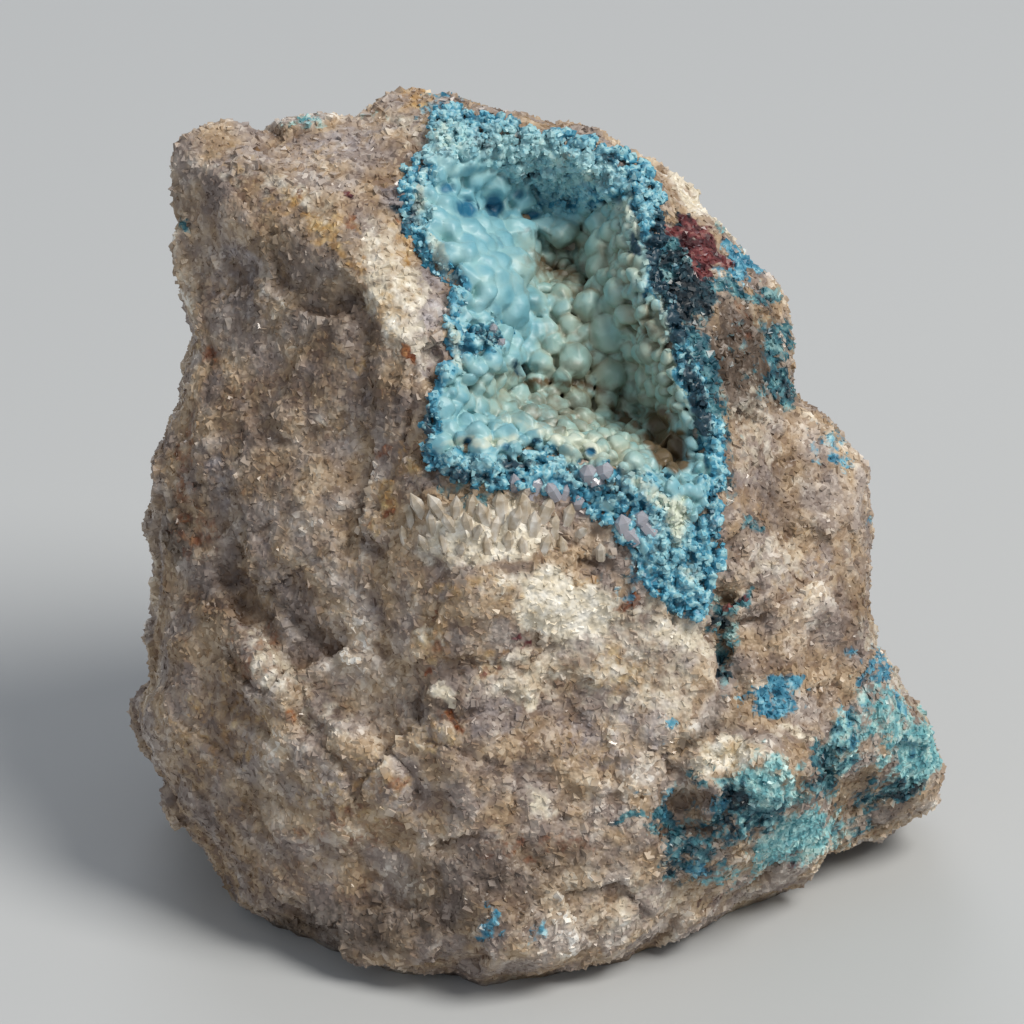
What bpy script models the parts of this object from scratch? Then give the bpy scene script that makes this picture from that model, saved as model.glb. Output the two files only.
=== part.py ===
"""A hand specimen of shattuckite: a pocket of blue, grape-like crust in a broken lump of quartz rock.

The stone rests on a flat break. Its display side is seen from 25 degrees above the horizontal, so
the shapes on that side are laid out in display coordinates, in millimetres from the stone's heart:
across (to the right), up (the picture's up) and toward (towards the eye). World +Z is up, -Y is the
front. Headings are degrees round from the front, towards the right, and tilts are degrees up.
"""

import math
import random

import bmesh
import bpy
import numpy as np
from mathutils import Matrix, Vector, noise
from mathutils.bvhtree import BVHTree
from mathutils.geometry import delaunay_2d_cdt

MM = 0.001
DISPLAY_TILT = math.radians(25)

# The stone's outline as the display side shows it, clockwise from the top left corner: across, up
STONE_OUTLINE = (
    (-26.2, 28.3), (-25.5, 29.7), (-23.9, 30.6), (-21.4, 31.2), (-19.4, 30.3), (-15.2, 31.0),
    (-13.0, 31.3), (-10.5, 32.4), (-8.0, 33.0), (-5.8, 32.6), (-2.2, 31.2), (2.2, 30.6),
    (6.5, 29.0), (10.1, 27.0), (13.0, 24.4), (15.2, 21.7), (17.8, 18.8), (19.2, 14.9),
    (19.6, 11.0), (22.3, 8.7), (23.9, 5.4), (24.9, 0.0), (24.9, -4.3), (25.7, -8.3),
    (27.5, -11.2), (29.7, -14.1), (30.6, -17.0), (30.1, -19.7), (26.8, -21.7), (22.1, -23.8),
    (21.0, -25.0), (16.7, -26.8), (12.3, -28.6), (8.0, -30.1), (2.9, -31.5), (-2.2, -32.1),
    (-7.2, -31.3), (-13.8, -29.9), (-18.1, -28.3), (-21.7, -27.0), (-24.3, -23.2), (-26.8, -18.8),
    (-29.0, -14.9), (-29.6, -12.7), (-28.4, -10.9), (-28.0, -8.0), (-28.1, -4.3), (-27.5, -1.8),
    (-27.8, 1.4), (-27.8, 4.7), (-27.0, 8.0), (-26.1, 10.5), (-25.7, 13.0), (-25.1, 15.2),
    (-25.8, 17.4), (-26.4, 21.4), (-26.0, 24.3),
)

# The faces that the stone broke along: heading, tilt, and distance from the heart in millimetres
FRACTURE_FACES = (
    (8, 52, 21.2),  # the face that the pocket opens in
    (-40, 24, 21.0),  # the shaded face left of the ridge
    (-30, 10, 21.9),  # its lower half
    (10, 14, 20.3),  # the face below the pocket
    (46, 30, 22.2),  # right of the pocket
    (42, 8, 25.2),  # the lower right flank
    (-40, 72, 28.0),  # the bench at the top left
    (30, 68, 28.2),  # the summit's bevel
    (65, 45, 24.6),  # the right shoulder
    (0, -28, 32.6),  # undercuts above the base
    (-50, -25, 32.4),
    (40, -25, 28.5),
    (158, 6, 20.6),  # the back, in six breaks
    (-152, 13, 21.0),
    (112, 20, 25.0),
    (170, 55, 30.6),
    (-165, -30, 29.0),
    (140, -32, 30.5),
    (-88, 6, 29.6),  # the flanks
    (92, 24, 27.0),
)
BASE_DROP = 24.5  # from the heart to the flat break that the stone rests on
BASE_SPARE = 2.6  # how far the rough form runs below the flat break before it is cut off
EDGE_SHARPNESS = 30  # the power that joins the faces: the higher, the crisper their edges
BACK_TAPER = 0.0045  # how fast the outline shrinks away from the heart's plane, per millimetre
FRONT_TAPER = 0.0015
OUTLINE_BINS = 180

# Rough relief: size of the lumps and height, in millimetres
COARSE_LUMPS = (11.0, 1.0)
HACKLY_LUMPS = (4.4, 0.6)
FINE_LUMPS = (2.4, 0.3)
WANDER = (4.0, 2.2)  # how the edges of the steps wander: size and reach of the bends

# The pocket's mouth, clockwise from its top left corner: across, up
POCKET_MOUTH = (
    (-8.8, 25.2), (-5.8, 28.3), (-2.2, 29.3), (2.2, 29.0), (5.8, 27.5), (8.0, 24.6),
    (8.1, 19.6), (9.4, 15.9), (10.9, 11.6), (12.3, 7.2), (12.7, 4.3), (10.9, 2.9),
    (8.7, 4.5), (5.1, 5.1), (1.4, 5.7), (-2.2, 6.2), (-6.5, 6.7), (-7.4, 8.0),
    (-6.5, 10.9), (-4.3, 13.0), (-5.7, 15.9), (-4.2, 18.5), (-6.2, 20.7), (-8.0, 22.5),
)
POCKET_DEPTH = 7.6
POCKET_WALL_LEFT = 5.2  # how wide the sloping wall is at the pocket's left side
POCKET_WALL_RIGHT = 2.4
# Chambers that go deeper: centre across and up, half width, half height, extra depth
POCKET_CHAMBERS = (
    (7.6, 8.2, 4.6, 4.6, 2.6),
    (2.4, 20.0, 3.6, 3.0, 2.4),
)
# The rib between the two chambers stands out of the pocket's floor
POCKET_RIB = (3.0, 16.8, 5.5, 1.6, -1.6)

# Broad dents in the display side: centre across and up, half width, half height, depth
DENTS = (
    (-21.0, 18.0, 4.2, 4.6, 1.8),  # the scoop under the bench
    (22.5, -20.0, 4.6, 2.6, 1.4),  # the shaded hollow at the lower right corner
    (16.0, -7.5, 3.0, 3.4, 1.1),
    (-8.5, -24.5, 6.0, 2.6, 1.0),
    (17.0, 8.5, 3.0, 3.6, 0.8),
    (2.0, -3.6, 5.5, 3.0, -0.9),  # the pale swelling under the pocket
    (-18.0, 2.0, 5.0, 4.0, -0.7),
)
# Steps where the break jumps: start, end, height, width of the broken edge, and how far the raised
# side runs on before it sinks back. The raised side lies to the right of the way from start to end.
STEPS = (
    ((-8.0, -18.4), (-24.0, -3.2), -1.8, 1.3, 9.0),  # the long pale ledge across the shaded face
    ((-16.6, 18.2), (-26.4, 15.2), -1.2, 1.4, 6.0),  # the scoop's lower lip
    ((11.0, -16.4), (20.2, -12.8), 1.9, 1.0, 7.0),  # the raised block at the lower right
    ((10.0, -23.6), (11.6, -16.0), 1.2, 1.0, 6.0),
    ((20.4, -14.0), (21.4, -24.4), 1.6, 0.9, 5.0),
    ((-8.2, -20.6), (1.0, -27.6), 1.0, 1.6, 6.0),  # above the undercut at the foot
    ((-7.0, -12.6), (-0.6, -8.0), 0.9, 1.2, 4.0),
    ((15.4, -1.8), (22.4, 2.0), 0.9, 1.0, 5.0),
    ((-14.6, 21.8), (-7.4, 9.8), -0.5, 1.6, 4.0),  # the ridge beside the shaded face
)
# The same for the far side, seen through the stone
BACK_STEPS = (
    ((-19.0, 14.0), (4.0, 20.0), 1.5, 1.4, 8.0),
    ((-22.0, -8.0), (-2.0, -3.0), 1.6, 1.4, 9.0),
    ((7.0, 17.0), (12.0, -8.0), 1.3, 1.2, 7.0),
    ((2.0, -14.0), (21.0, -9.0), 1.4, 1.3, 7.0),
)
# Narrow clefts: start, end, half width, depth
CLEFTS = (
    ((13.0, -5.6), (13.9, -10.8), 0.8, 1.9),
    ((12.8, -5.2), (17.2, -3.6), 0.7, 0.9),
    ((-9.4, 27.2), (-8.0, 22.4), 0.6, 0.8),
)

# The crust's outline, a little wider than the pocket, with a tail below its right side
CRUST_OUTLINE = (
    (-9.6, 25.7), (-7.6, 28.3), (-7.1, 31.0), (-5.8, 31.2), (-3.6, 30.6), (-0.7, 29.8),
    (2.2, 29.3), (5.8, 28.1), (8.4, 26.5), (9.4, 24.4), (9.4, 21.7), (9.1, 18.8),
    (10.5, 15.9), (11.6, 12.3), (12.9, 8.7), (13.6, 5.1), (13.2, 2.2), (13.4, -1.4),
    (12.7, -4.3), (11.6, -5.5), (9.8, -4.7), (8.0, -3.3), (6.9, -0.7), (5.1, 1.4),
    (2.9, 2.9), (-0.7, 3.6), (-4.3, 4.0), (-6.9, 5.1), (-7.7, 6.7), (-7.4, 8.3),
    (-6.9, 11.2), (-5.4, 12.9), (-6.2, 15.5), (-5.0, 18.0), (-7.2, 20.3), (-8.9, 22.8),
)
CRUST_GAP = 0.5
CRUST_CLEARANCE = 0.2  # the least gap that is left where the stone bulges between the bed's corners
CRUST_LEAST = 0.65
CRUST_GRID = 0.6  # of the outer surface: the bed's own grid is twice as wide
CRUST_RIM_STEP = 0.7
BED_LIFTS = 4
# The crust's larger lobes, from the top down: across, up, radius
CRUST_LOBES = (
    (-4.4, 28.1, 1.0), (-3.0, 26.2, 1.2), (-4.5, 23.8, 1.0), (-6.4, 23.1, 1.2), (2.2, 22.6, 1.2),
    (5.9, 22.5, 1.1), (-2.0, 21.5, 1.7), (5.9, 21.1, 1.2), (5.9, 19.7, 1.2), (-2.0, 19.1, 1.6),
    (7.1, 17.9, 1.1), (5.7, 17.6, 1.4), (4.3, 16.8, 1.2), (0.1, 16.8, 1.2), (-2.3, 16.7, 1.5),
    (5.7, 15.1, 1.6), (3.0, 12.6, 1.3), (0.5, 12.6, 1.0), (5.4, 11.9, 1.2), (7.8, 11.2, 1.0),
    (-3.0, 10.1, 1.2), (3.2, 9.9, 1.2), (-1.2, 9.9, 1.0), (6.5, 9.4, 1.1), (-4.7, 9.4, 1.2),
    (1.8, 9.0, 1.2), (1.1, 8.3, 1.0), (3.6, 8.0, 1.0), (-3.8, 6.9, 1.1), (-1.8, 6.9, 1.0),
    (4.2, 4.5, 1.0), (7.3, 1.3, 1.4),
)
LOBE_RISE = 0.2  # how far a lobe's middle stands off the bed, in radii
SMALL_LOBE_RADII = (1.05, 1.4)
SMALL_LOBE_SPACING = 0.78  # in sums of radii
SMALL_LOBE_TRIES = 5000
SEED = 11

STONE_SPHERE_CUTS = 7
STONE_KEPT_SHARE = 0.065  # of the sphere's triangles, after flat stretches are merged
RAY_START = 60.0


def clear_scene():
    for thing in list(bpy.data.objects):
        bpy.data.objects.remove(thing)


def stone_material(name, colour, roughness):
    material = bpy.data.materials.new(name)
    material.use_nodes = True
    shader = material.node_tree.nodes["Principled BSDF"]
    shader.inputs["Base Color"].default_value = (*colour, 1.0)
    shader.inputs["Roughness"].default_value = roughness
    shader.inputs["Metallic"].default_value = 0.0
    return material


def smoothstep(low, high, value):
    share = np.clip((value - low) / (high - low), 0.0, 1.0)
    return share * share * (3.0 - 2.0 * share)


def display_to_world(points):
    """Turns display coordinates into world ones, both in millimetres."""
    across, up, toward = points[:, 0], points[:, 1], points[:, 2]
    sine, cosine = math.sin(DISPLAY_TILT), math.cos(DISPLAY_TILT)
    return np.stack([across, up * sine - toward * cosine, up * cosine + toward * sine], axis=1)


def world_to_display(points):
    x, y, z = points[:, 0], points[:, 1], points[:, 2]
    sine, cosine = math.sin(DISPLAY_TILT), math.cos(DISPLAY_TILT)
    return np.stack([x, y * sine + z * cosine, z * sine - y * cosine], axis=1)


def face_normal(heading, tilt):
    """The display direction that a fracture face looks in."""
    heading, tilt = math.radians(heading), math.radians(tilt)
    world = np.array([[
        math.sin(heading) * math.cos(tilt),
        -math.cos(heading) * math.cos(tilt),
        math.sin(tilt),
    ]])
    return world_to_display(world)[0]


def inside_depth(flat, outline):
    """How far each point of the display plane lies inside an outline: negative outside it."""
    corners = np.array(outline, float)
    inside = np.zeros(len(flat), bool)
    nearest = np.full(len(flat), np.inf)
    for start, end in zip(corners, np.roll(corners, -1, axis=0)):
        along = end - start
        share = np.clip(((flat - start) @ along) / (along @ along), 0.0, 1.0)
        nearest = np.minimum(nearest, np.linalg.norm(flat - start - share[:, None] * along, axis=1))
        spans = (start[1] > flat[:, 1]) != (end[1] > flat[:, 1])
        rise = end[1] - start[1] or 1e-9
        crossing = start[0] + (flat[:, 1] - start[1]) * along[0] / rise
        inside ^= spans & (flat[:, 0] < crossing)
    return np.where(inside, nearest, -nearest)


def bowl(flat, across, up, half_width, half_height, depth):
    """A smooth round hollow, or a swelling where depth is negative."""
    u = (flat[:, 0] - across) / half_width
    v = (flat[:, 1] - up) / half_height
    return depth * np.exp(-(u * u + v * v))


def cleft(flat, start, end, half_width, depth):
    start, end = np.array(start), np.array(end)
    along = end - start
    share = np.clip(((flat - start) @ along) / (along @ along), 0.0, 1.0)
    off = np.linalg.norm(flat - start - share[:, None] * along, axis=1)
    return depth * np.exp(-((off / half_width) ** 2))


def lump_noise(points, lump_size, octaves):
    """Fractal noise from about -1 to 1, with lumps of the given size in millimetres."""
    return np.array([
        noise.fractal(Vector(point) / lump_size, 0.9, 2.1, octaves) for point in points
    ])


def hackle_noise(points, lump_size):
    """The stepped roughness of a fresh break: sharp-edged cells, each at its own height."""
    heights = []
    for point in points:
        _, centres = noise.voronoi(Vector(point) / lump_size)
        heights.append(noise.noise(centres[0] * 3.7))
    return np.array(heights)


def step(flat, start, end, height, edge, run):
    """A break's jump: one side of the line stands higher, and sinks back away from the line."""
    start, end = np.array(start), np.array(end)
    length = np.linalg.norm(end - start)
    along = (end - start) / length
    side = np.array([along[1], -along[0]])
    share = ((flat - start) @ along) / length
    off = (flat - start) @ side * math.copysign(1.0, height)
    window = smoothstep(-0.12, 0.15, share) * (1.0 - smoothstep(0.85, 1.12, share))
    return abs(height) * window * smoothstep(-edge / 2, edge / 2, off) * np.exp(-((off / run) ** 2))


def pocket_depth(flat):
    inside = inside_depth(flat, POCKET_MOUTH)
    lowest, highest = min(p[0] for p in POCKET_MOUTH), max(p[0] for p in POCKET_MOUTH)
    share = np.clip((flat[:, 0] - lowest) / (highest - lowest), 0.0, 1.0)
    wall = POCKET_WALL_LEFT + (POCKET_WALL_RIGHT - POCKET_WALL_LEFT) * share
    floor = np.full(len(flat), POCKET_DEPTH)
    for chamber in (*POCKET_CHAMBERS, POCKET_RIB):
        floor += bowl(flat, *chamber)
    return floor * smoothstep(0.0, 1.0, inside / wall)


def wander(flat):
    """Shifts places of the display plane a little, so that broken edges don't run straight."""
    shifts = [
        (noise.noise(Vector((u, v, 3.1)) / WANDER[0]), noise.noise(Vector((u, v, 41.7)) / WANDER[0]))
        for u, v in flat
    ]
    return flat + WANDER[1] * np.array(shifts)


def display_relief(flat):
    """How far the display side's own features move its surface towards the eye."""
    relief = -pocket_depth(flat)
    flat = wander(flat)
    for dent in DENTS:
        relief -= bowl(flat, *dent)
    for jump in STEPS:
        relief += step(flat, *jump)
    for start, end, half_width, depth in CLEFTS:
        relief -= cleft(flat, start, end, half_width, depth)
    return relief


def outline_reach(facing):
    """The wanted outline's distance from the heart at each angle of the display plane."""
    corners = np.array(STONE_OUTLINE)
    angles = np.arctan2(corners[:, 1], corners[:, 0])
    order = np.argsort(angles)
    radii = np.hypot(corners[:, 0], corners[:, 1])
    return np.interp(facing, angles[order], radii[order], period=2 * math.pi)


def rough_reach(directions):
    """The stone's reach from its heart along each direction, before relief."""
    outline = outline_reach(np.arctan2(directions[:, 1], directions[:, 0]))
    toward = directions[:, 2]
    taper = np.where(toward > 0, FRONT_TAPER, BACK_TAPER)
    rim = np.hypot(directions[:, 0], directions[:, 1]) / outline + taper * np.abs(toward)
    total = rim**EDGE_SHARPNESS
    base = (0, -90, BASE_DROP + BASE_SPARE)
    for heading, tilt, distance in (*FRACTURE_FACES, base):
        facing_share = np.maximum(directions @ face_normal(heading, tilt), 0.0)
        total += (facing_share / distance) ** EDGE_SHARPNESS
    return total ** (-1.0 / EDGE_SHARPNESS)


def fit_outline(points):
    """Stretches the stone about its heart so that its rim meets the wanted outline."""
    facing = np.arctan2(points[:, 1], points[:, 0])
    spread = np.hypot(points[:, 0], points[:, 1])
    slot = ((facing / (2 * math.pi) + 0.5) * OUTLINE_BINS).astype(int) % OUTLINE_BINS
    reached = np.zeros(OUTLINE_BINS)
    np.maximum.at(reached, slot, spread)
    middles = ((np.arange(OUTLINE_BINS) + 0.5) / OUTLINE_BINS - 0.5) * 2 * math.pi
    share = outline_reach(middles) / reached
    stretch = np.interp(facing, middles, share, period=2 * math.pi)
    rim = np.interp(facing, middles, reached, period=2 * math.pi)
    scale = 1.0 + (stretch - 1.0) * np.minimum(spread / rim, 1.0) ** 3
    return points * np.stack([scale, scale, np.ones(len(points))], axis=1)


def stone_surface(directions):
    """Points of the stone in display millimetres, one for each direction from its heart."""
    points = directions * rough_reach(directions)[:, None]
    covered = smoothstep(-1.0, 2.0, inside_depth(points[:, :2], POCKET_MOUTH))
    covered *= smoothstep(-2.0, 4.0, points[:, 2])
    rough = COARSE_LUMPS[1] * lump_noise(points, COARSE_LUMPS[0], 2)
    rough += HACKLY_LUMPS[1] * hackle_noise(points, HACKLY_LUMPS[0])
    rough += FINE_LUMPS[1] * lump_noise(points, FINE_LUMPS[0], 1)
    points += directions * (rough * (1.0 - 0.8 * covered))[:, None]
    points = fit_outline(points)
    front = smoothstep(-1.0, 3.0, points[:, 2])
    points[:, 2] += display_relief(points[:, :2]) * front
    back = smoothstep(1.0, 6.0, -points[:, 2])
    wandered = wander(points[:, :2])
    points[:, 2] -= sum(step(wandered, *jump) for jump in BACK_STEPS) * back
    world = display_to_world(points)
    world[:, 2] = np.maximum(world[:, 2], -BASE_DROP)
    return world


def sphere_mesh(cuts):
    form = bmesh.new()
    bmesh.ops.create_icosphere(form, subdivisions=cuts, radius=1.0)
    return form


def object_of(name, form, material):
    mesh = bpy.data.meshes.new(name)
    form.to_mesh(mesh)
    form.free()
    mesh.materials.append(material)
    thing = bpy.data.objects.new(name, mesh)
    bpy.context.scene.collection.objects.link(thing)
    return thing


def make_stone():
    form = sphere_mesh(STONE_SPHERE_CUTS)
    directions = np.array([vertex.co for vertex in form.verts], float)
    directions /= np.linalg.norm(directions, axis=1)[:, None]
    for vertex, place in zip(form.verts, stone_surface(directions)):
        vertex.co = place * MM
    colour = (0.36, 0.29, 0.23)
    stone = object_of("quartz_stone", form, stone_material("quartz_rock", colour, 0.7))
    merge = stone.modifiers.new("merge_flat_stretches", "DECIMATE")
    merge.ratio = STONE_KEPT_SHARE
    return stone


def stone_tree(stone):
    """The finished stone's surface, to measure the crust's bed on."""
    graph = bpy.context.evaluated_depsgraph_get()
    shape = stone.evaluated_get(graph)
    mesh = shape.to_mesh()
    mesh.calc_loop_triangles()
    world = np.array([vertex.co for vertex in mesh.vertices], float) / MM
    corners = [Vector(point) for point in world_to_display(world)]
    triangles = [tuple(triangle.vertices) for triangle in mesh.loop_triangles]
    shape.to_mesh_clear()
    return BVHTree.FromPolygons(corners, triangles)


def bed_height(tree, across, up):
    """How far toward the eye the stone's surface lies at a place of the display plane."""
    hit = tree.ray_cast(Vector((across, up, RAY_START)), Vector((0, 0, -1)))
    if hit[0] is None:
        raise ValueError(f"the crust's outline leaves the stone at {across:.1f}, {up:.1f}")
    return hit[0].z


def rolled_height(tree, across, up, gap):
    """The surface that keeps a gap off the stone all round, as a ball rolled over it would trace."""
    best = bed_height(tree, across, up) + gap
    for ring in (0.45, 0.8, 0.98):
        for turn in range(10):
            angle = 2 * math.pi * (turn + ring) / 10
            u, v = gap * ring * math.cos(angle), gap * ring * math.sin(angle)
            rise = gap * math.sqrt(1 - ring * ring)
            best = max(best, bed_height(tree, across + u, up + v) + rise)
    return best


def stepped_outline(outline, step):
    """The outline with points about one step apart, rounded at its corners."""
    points = []
    corners = [Vector(corner) for corner in outline]
    for index, corner in enumerate(corners):
        following = corners[(index + 1) % len(corners)]
        count = max(1, round((following - corner).length / step))
        for part in range(count):
            points.append(corner.lerp(following, part / count))
    return [(points[i - 1] + 2 * points[i] + points[(i + 1) % len(points)]) / 4 for i in range(len(points))]


def sheet_plan(rim, pitch):
    """A triangulated plan of the crust: the rim's points first, then a grid within it."""
    rows = math.ceil(2 * RAY_START / (pitch * math.sqrt(0.75)))
    grid = [
        ((column + row % 2 / 2 - rows // 2) * pitch, (row - rows // 2) * pitch * math.sqrt(0.75))
        for row in range(rows)
        for column in range(rows)
    ]
    depths = inside_depth(np.array(grid), [tuple(point) for point in rim])
    inner = [Vector(point) for point, depth in zip(grid, depths) if depth > 0.6 * pitch]
    flat, _, triangles, *_ = delaunay_2d_cdt(rim + inner, [], [list(range(len(rim)))], 1, 1e-5)
    return flat, [tuple(triangle) for triangle in triangles]


def sheet_tree(flat, heights, triangles):
    return BVHTree.FromPolygons([(p.x, p.y, h) for p, h in zip(flat, heights)], triangles)


def bed_sheet(tree, rim):
    """The crust's underside: it follows the stone a gap away, lifted wherever the stone bulges."""
    flat, triangles = sheet_plan(rim, 2 * CRUST_GRID)
    heights = [rolled_height(tree, point.x, point.y, CRUST_GAP) for point in flat]
    probes, _ = sheet_plan(rim, CRUST_GRID / 2)
    for _ in range(BED_LIFTS):
        sheet = sheet_tree(flat, heights, triangles)
        for probe in probes:
            place, _, index, _ = sheet.ray_cast(Vector((probe.x, probe.y, RAY_START)), Vector((0, 0, -1)))
            if place is None:
                continue
            lack = bed_height(tree, probe.x, probe.y) + CRUST_CLEARANCE - place.z
            if lack > 0:
                for corner in triangles[index]:
                    heights[corner] += lack
    return flat, heights, triangles


def lobe_middle(tree, across, up, radius):
    """A lobe grows square to the stone's surface below it."""
    place, normal, _, _ = tree.ray_cast(Vector((across, up, RAY_START)), Vector((0, 0, -1)))
    return place + normal * (CRUST_GAP + LOBE_RISE * radius)


def crust_lobes(tree):
    """Middles and radii of the lobes: the ones read off the specimen, then small ones between them."""
    lobes = [(lobe_middle(tree, across, up, radius), radius) for across, up, radius in CRUST_LOBES]
    draw = random.Random(SEED)
    lows = [min(p[axis] for p in CRUST_OUTLINE) for axis in (0, 1)]
    highs = [max(p[axis] for p in CRUST_OUTLINE) for axis in (0, 1)]
    tries = np.array([
        [draw.uniform(lows[0], highs[0]), draw.uniform(lows[1], highs[1])]
        for _ in range(SMALL_LOBE_TRIES)
    ])
    for (across, up), depth in zip(tries, inside_depth(tries, CRUST_OUTLINE)):
        radius = draw.uniform(*SMALL_LOBE_RADII)
        if depth < 0.7 * radius:
            continue
        middle = lobe_middle(tree, across, up, radius)
        if all((middle - m).length > SMALL_LOBE_SPACING * (radius + r) for m, r in lobes):
            lobes.append((middle, radius))
    return lobes


def lobe_height(lobes, across, up):
    """How far toward the eye the lobes reach over one place."""
    best = -RAY_START
    for middle, radius in lobes:
        off = math.hypot(across - middle.x, up - middle.y)
        if off < radius:
            best = max(best, middle.z + math.sqrt(radius * radius - off * off))
    return best


def make_crust(tree):
    rim = stepped_outline(CRUST_OUTLINE, CRUST_RIM_STEP)
    bed_flat, bed_heights, bed_triangles = bed_sheet(tree, rim)
    sheet = sheet_tree(bed_flat, bed_heights, bed_triangles)
    lobes = crust_lobes(tree)
    flat, triangles = sheet_plan(rim, CRUST_GRID)
    heights = bed_heights[:len(rim)] + [bed_height(sheet, p.x, p.y) for p in flat[len(rim):]]
    heights = [height + CRUST_LEAST for height in heights]
    for index in range(len(rim), len(flat)):
        heights[index] = max(heights[index], lobe_height(lobes, flat[index].x, flat[index].y))
    form = bmesh.new()
    sheets = []
    for plan, tops in ((flat, heights), (bed_flat, bed_heights)):
        display = np.array([(point.x, point.y, top) for point, top in zip(plan, tops)])
        sheets.append([form.verts.new(place * MM) for place in display_to_world(display)])
    front, back = sheets
    for triangle in triangles:
        form.faces.new([front[corner] for corner in triangle])
    for triangle in bed_triangles:
        form.faces.new([back[corner] for corner in reversed(triangle)])
    for start in range(len(rim)):
        end = (start + 1) % len(rim)
        form.faces.new((front[end], front[start], back[start], back[end]))
    bmesh.ops.recalc_face_normals(form, faces=form.faces)
    for face in form.faces:
        face.smooth = True
    colour = (0.20, 0.52, 0.58)
    return object_of("shattuckite_crust", form, stone_material("shattuckite", colour, 0.55))


def stand_on_floor(things):
    """Moves the meshes so that the specimen's box stands centred on the origin."""
    graph = bpy.context.evaluated_depsgraph_get()
    corners = np.array([
        thing.matrix_world @ Vector(corner)
        for thing in things
        for corner in thing.evaluated_get(graph).bound_box
    ])
    low, high = corners.min(axis=0), corners.max(axis=0)
    shift = Vector((-(low[0] + high[0]) / 2, -(low[1] + high[1]) / 2, -low[2]))
    for thing in things:
        thing.data.transform(Matrix.Translation(shift))
    print("the heart of the stone stands at", [round(part / MM, 3) for part in shift], "mm")


def main():
    clear_scene()
    stone = make_stone()
    crust = make_crust(stone_tree(stone))
    stand_on_floor([stone, crust])


main()
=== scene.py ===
# %% [markdown]
# # A hand specimen of shattuckite
# The real thing is a broken lump of sugary quartz rock, 60 mm wide. Its upper front opens into a pocket
# that is lined with a blue, grape-like crust. This lesson dresses the plain solids of that specimen:
# it gives the rock its grains and stains, and the pocket its lobes. The solids come first, as a fixed
# frame, because every piece below is grown on their surfaces.

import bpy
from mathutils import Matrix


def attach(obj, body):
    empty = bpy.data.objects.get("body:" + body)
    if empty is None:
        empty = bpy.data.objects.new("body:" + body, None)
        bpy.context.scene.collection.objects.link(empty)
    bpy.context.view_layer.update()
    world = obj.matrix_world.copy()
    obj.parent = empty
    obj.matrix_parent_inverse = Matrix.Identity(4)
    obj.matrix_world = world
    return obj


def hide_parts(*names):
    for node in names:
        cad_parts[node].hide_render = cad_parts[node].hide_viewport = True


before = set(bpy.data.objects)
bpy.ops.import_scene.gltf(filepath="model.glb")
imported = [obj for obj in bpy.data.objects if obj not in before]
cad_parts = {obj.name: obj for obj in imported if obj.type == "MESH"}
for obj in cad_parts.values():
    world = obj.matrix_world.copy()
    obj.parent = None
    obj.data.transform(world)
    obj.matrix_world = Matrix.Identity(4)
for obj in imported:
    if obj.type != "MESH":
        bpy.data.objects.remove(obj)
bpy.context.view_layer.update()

# %% [markdown]
# Places on the display side are easiest to give as the eye sees them: across to the right, up, and
# toward the eye, in millimetres from the heart of the stone. The display side is looked at from
# 25 degrees above, so a turn by that angle leads from one set of coordinates to the other. Numpy turns
# whole meshes at once, which is much faster than a loop over vertices.

# %% Display coordinates
import math
import random

import bmesh
import bpy
import numpy as np
from mathutils import Vector, noise
from mathutils.bvhtree import BVHTree

MM = 0.001
DISPLAY_TILT = math.radians(25)
HEART = np.array([-0.603, 0.953, 24.5])  # of the stone, in millimetres of the frame


def to_display(world):
    """Turns millimetres of the frame into across, up and toward."""
    x, y, z = (np.asarray(world, float) - HEART).T
    sine, cosine = math.sin(DISPLAY_TILT), math.cos(DISPLAY_TILT)
    return np.stack([x, y * sine + z * cosine, z * sine - y * cosine], axis=1)


def to_world(display):
    """Turns across, up and toward into millimetres of the frame."""
    across, up, toward = np.asarray(display, float).T
    sine, cosine = math.sin(DISPLAY_TILT), math.cos(DISPLAY_TILT)
    return HEART + np.stack([across, up * sine - toward * cosine, up * cosine + toward * sine], axis=1)


print("the heart's own place comes back as", to_display([HEART])[0])

# %% [markdown]
# The camera stands where the eye of someone who holds the specimen up would be: straight in front and
# 25 degrees above. A long lens keeps near and far parts at one scale, as in a close-up from a distance.
# The frame is as wide as 1024 pixels at 13.8 pixels per millimetre, which is the specimen's scale.

# %% Camera
PIXELS_PER_MM = 13.8
FRAME_PIXELS = 1024
FRAME_CENTRE = (-1.30, 2.03, 7.0)  # what the middle of the frame looks at: across, up, toward
LENS = 200.0
SENSOR = 36.0


def add_camera():
    data = bpy.data.cameras.new("display_camera")
    data.lens = LENS
    data.sensor_width = SENSOR
    camera = bpy.data.objects.new("display_camera", data)
    bpy.context.scene.collection.objects.link(camera)
    back = Vector((0.0, -math.cos(DISPLAY_TILT), math.sin(DISPLAY_TILT)))
    distance = FRAME_PIXELS / PIXELS_PER_MM * LENS / SENSOR
    camera.location = (Vector(to_world([FRAME_CENTRE])[0]) + back * distance) * MM
    camera.rotation_euler = back.to_track_quat("Z", "Y").to_euler()
    data.clip_start, data.clip_end = 0.05, 20.0
    bpy.context.scene.camera = camera
    return distance


print("the camera stands", round(add_camera()), "mm away")

# %% [markdown]
# Colours are written as the sRGB hex values that a colour picker shows, and one function turns them into
# the linear values that Blender computes with. A second small function adds a node to any tree, sets
# its options, and fills or links its inputs, so every tree below reads as a list of its steps.

# %% Colours and nodes


def linear(hex_colour):
    parts = [int(hex_colour[start:start + 2], 16) / 255 for start in (1, 3, 5)]
    return (*(p / 12.92 if p <= 0.04045 else ((p + 0.055) / 1.055) ** 2.4 for p in parts), 1.0)


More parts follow.
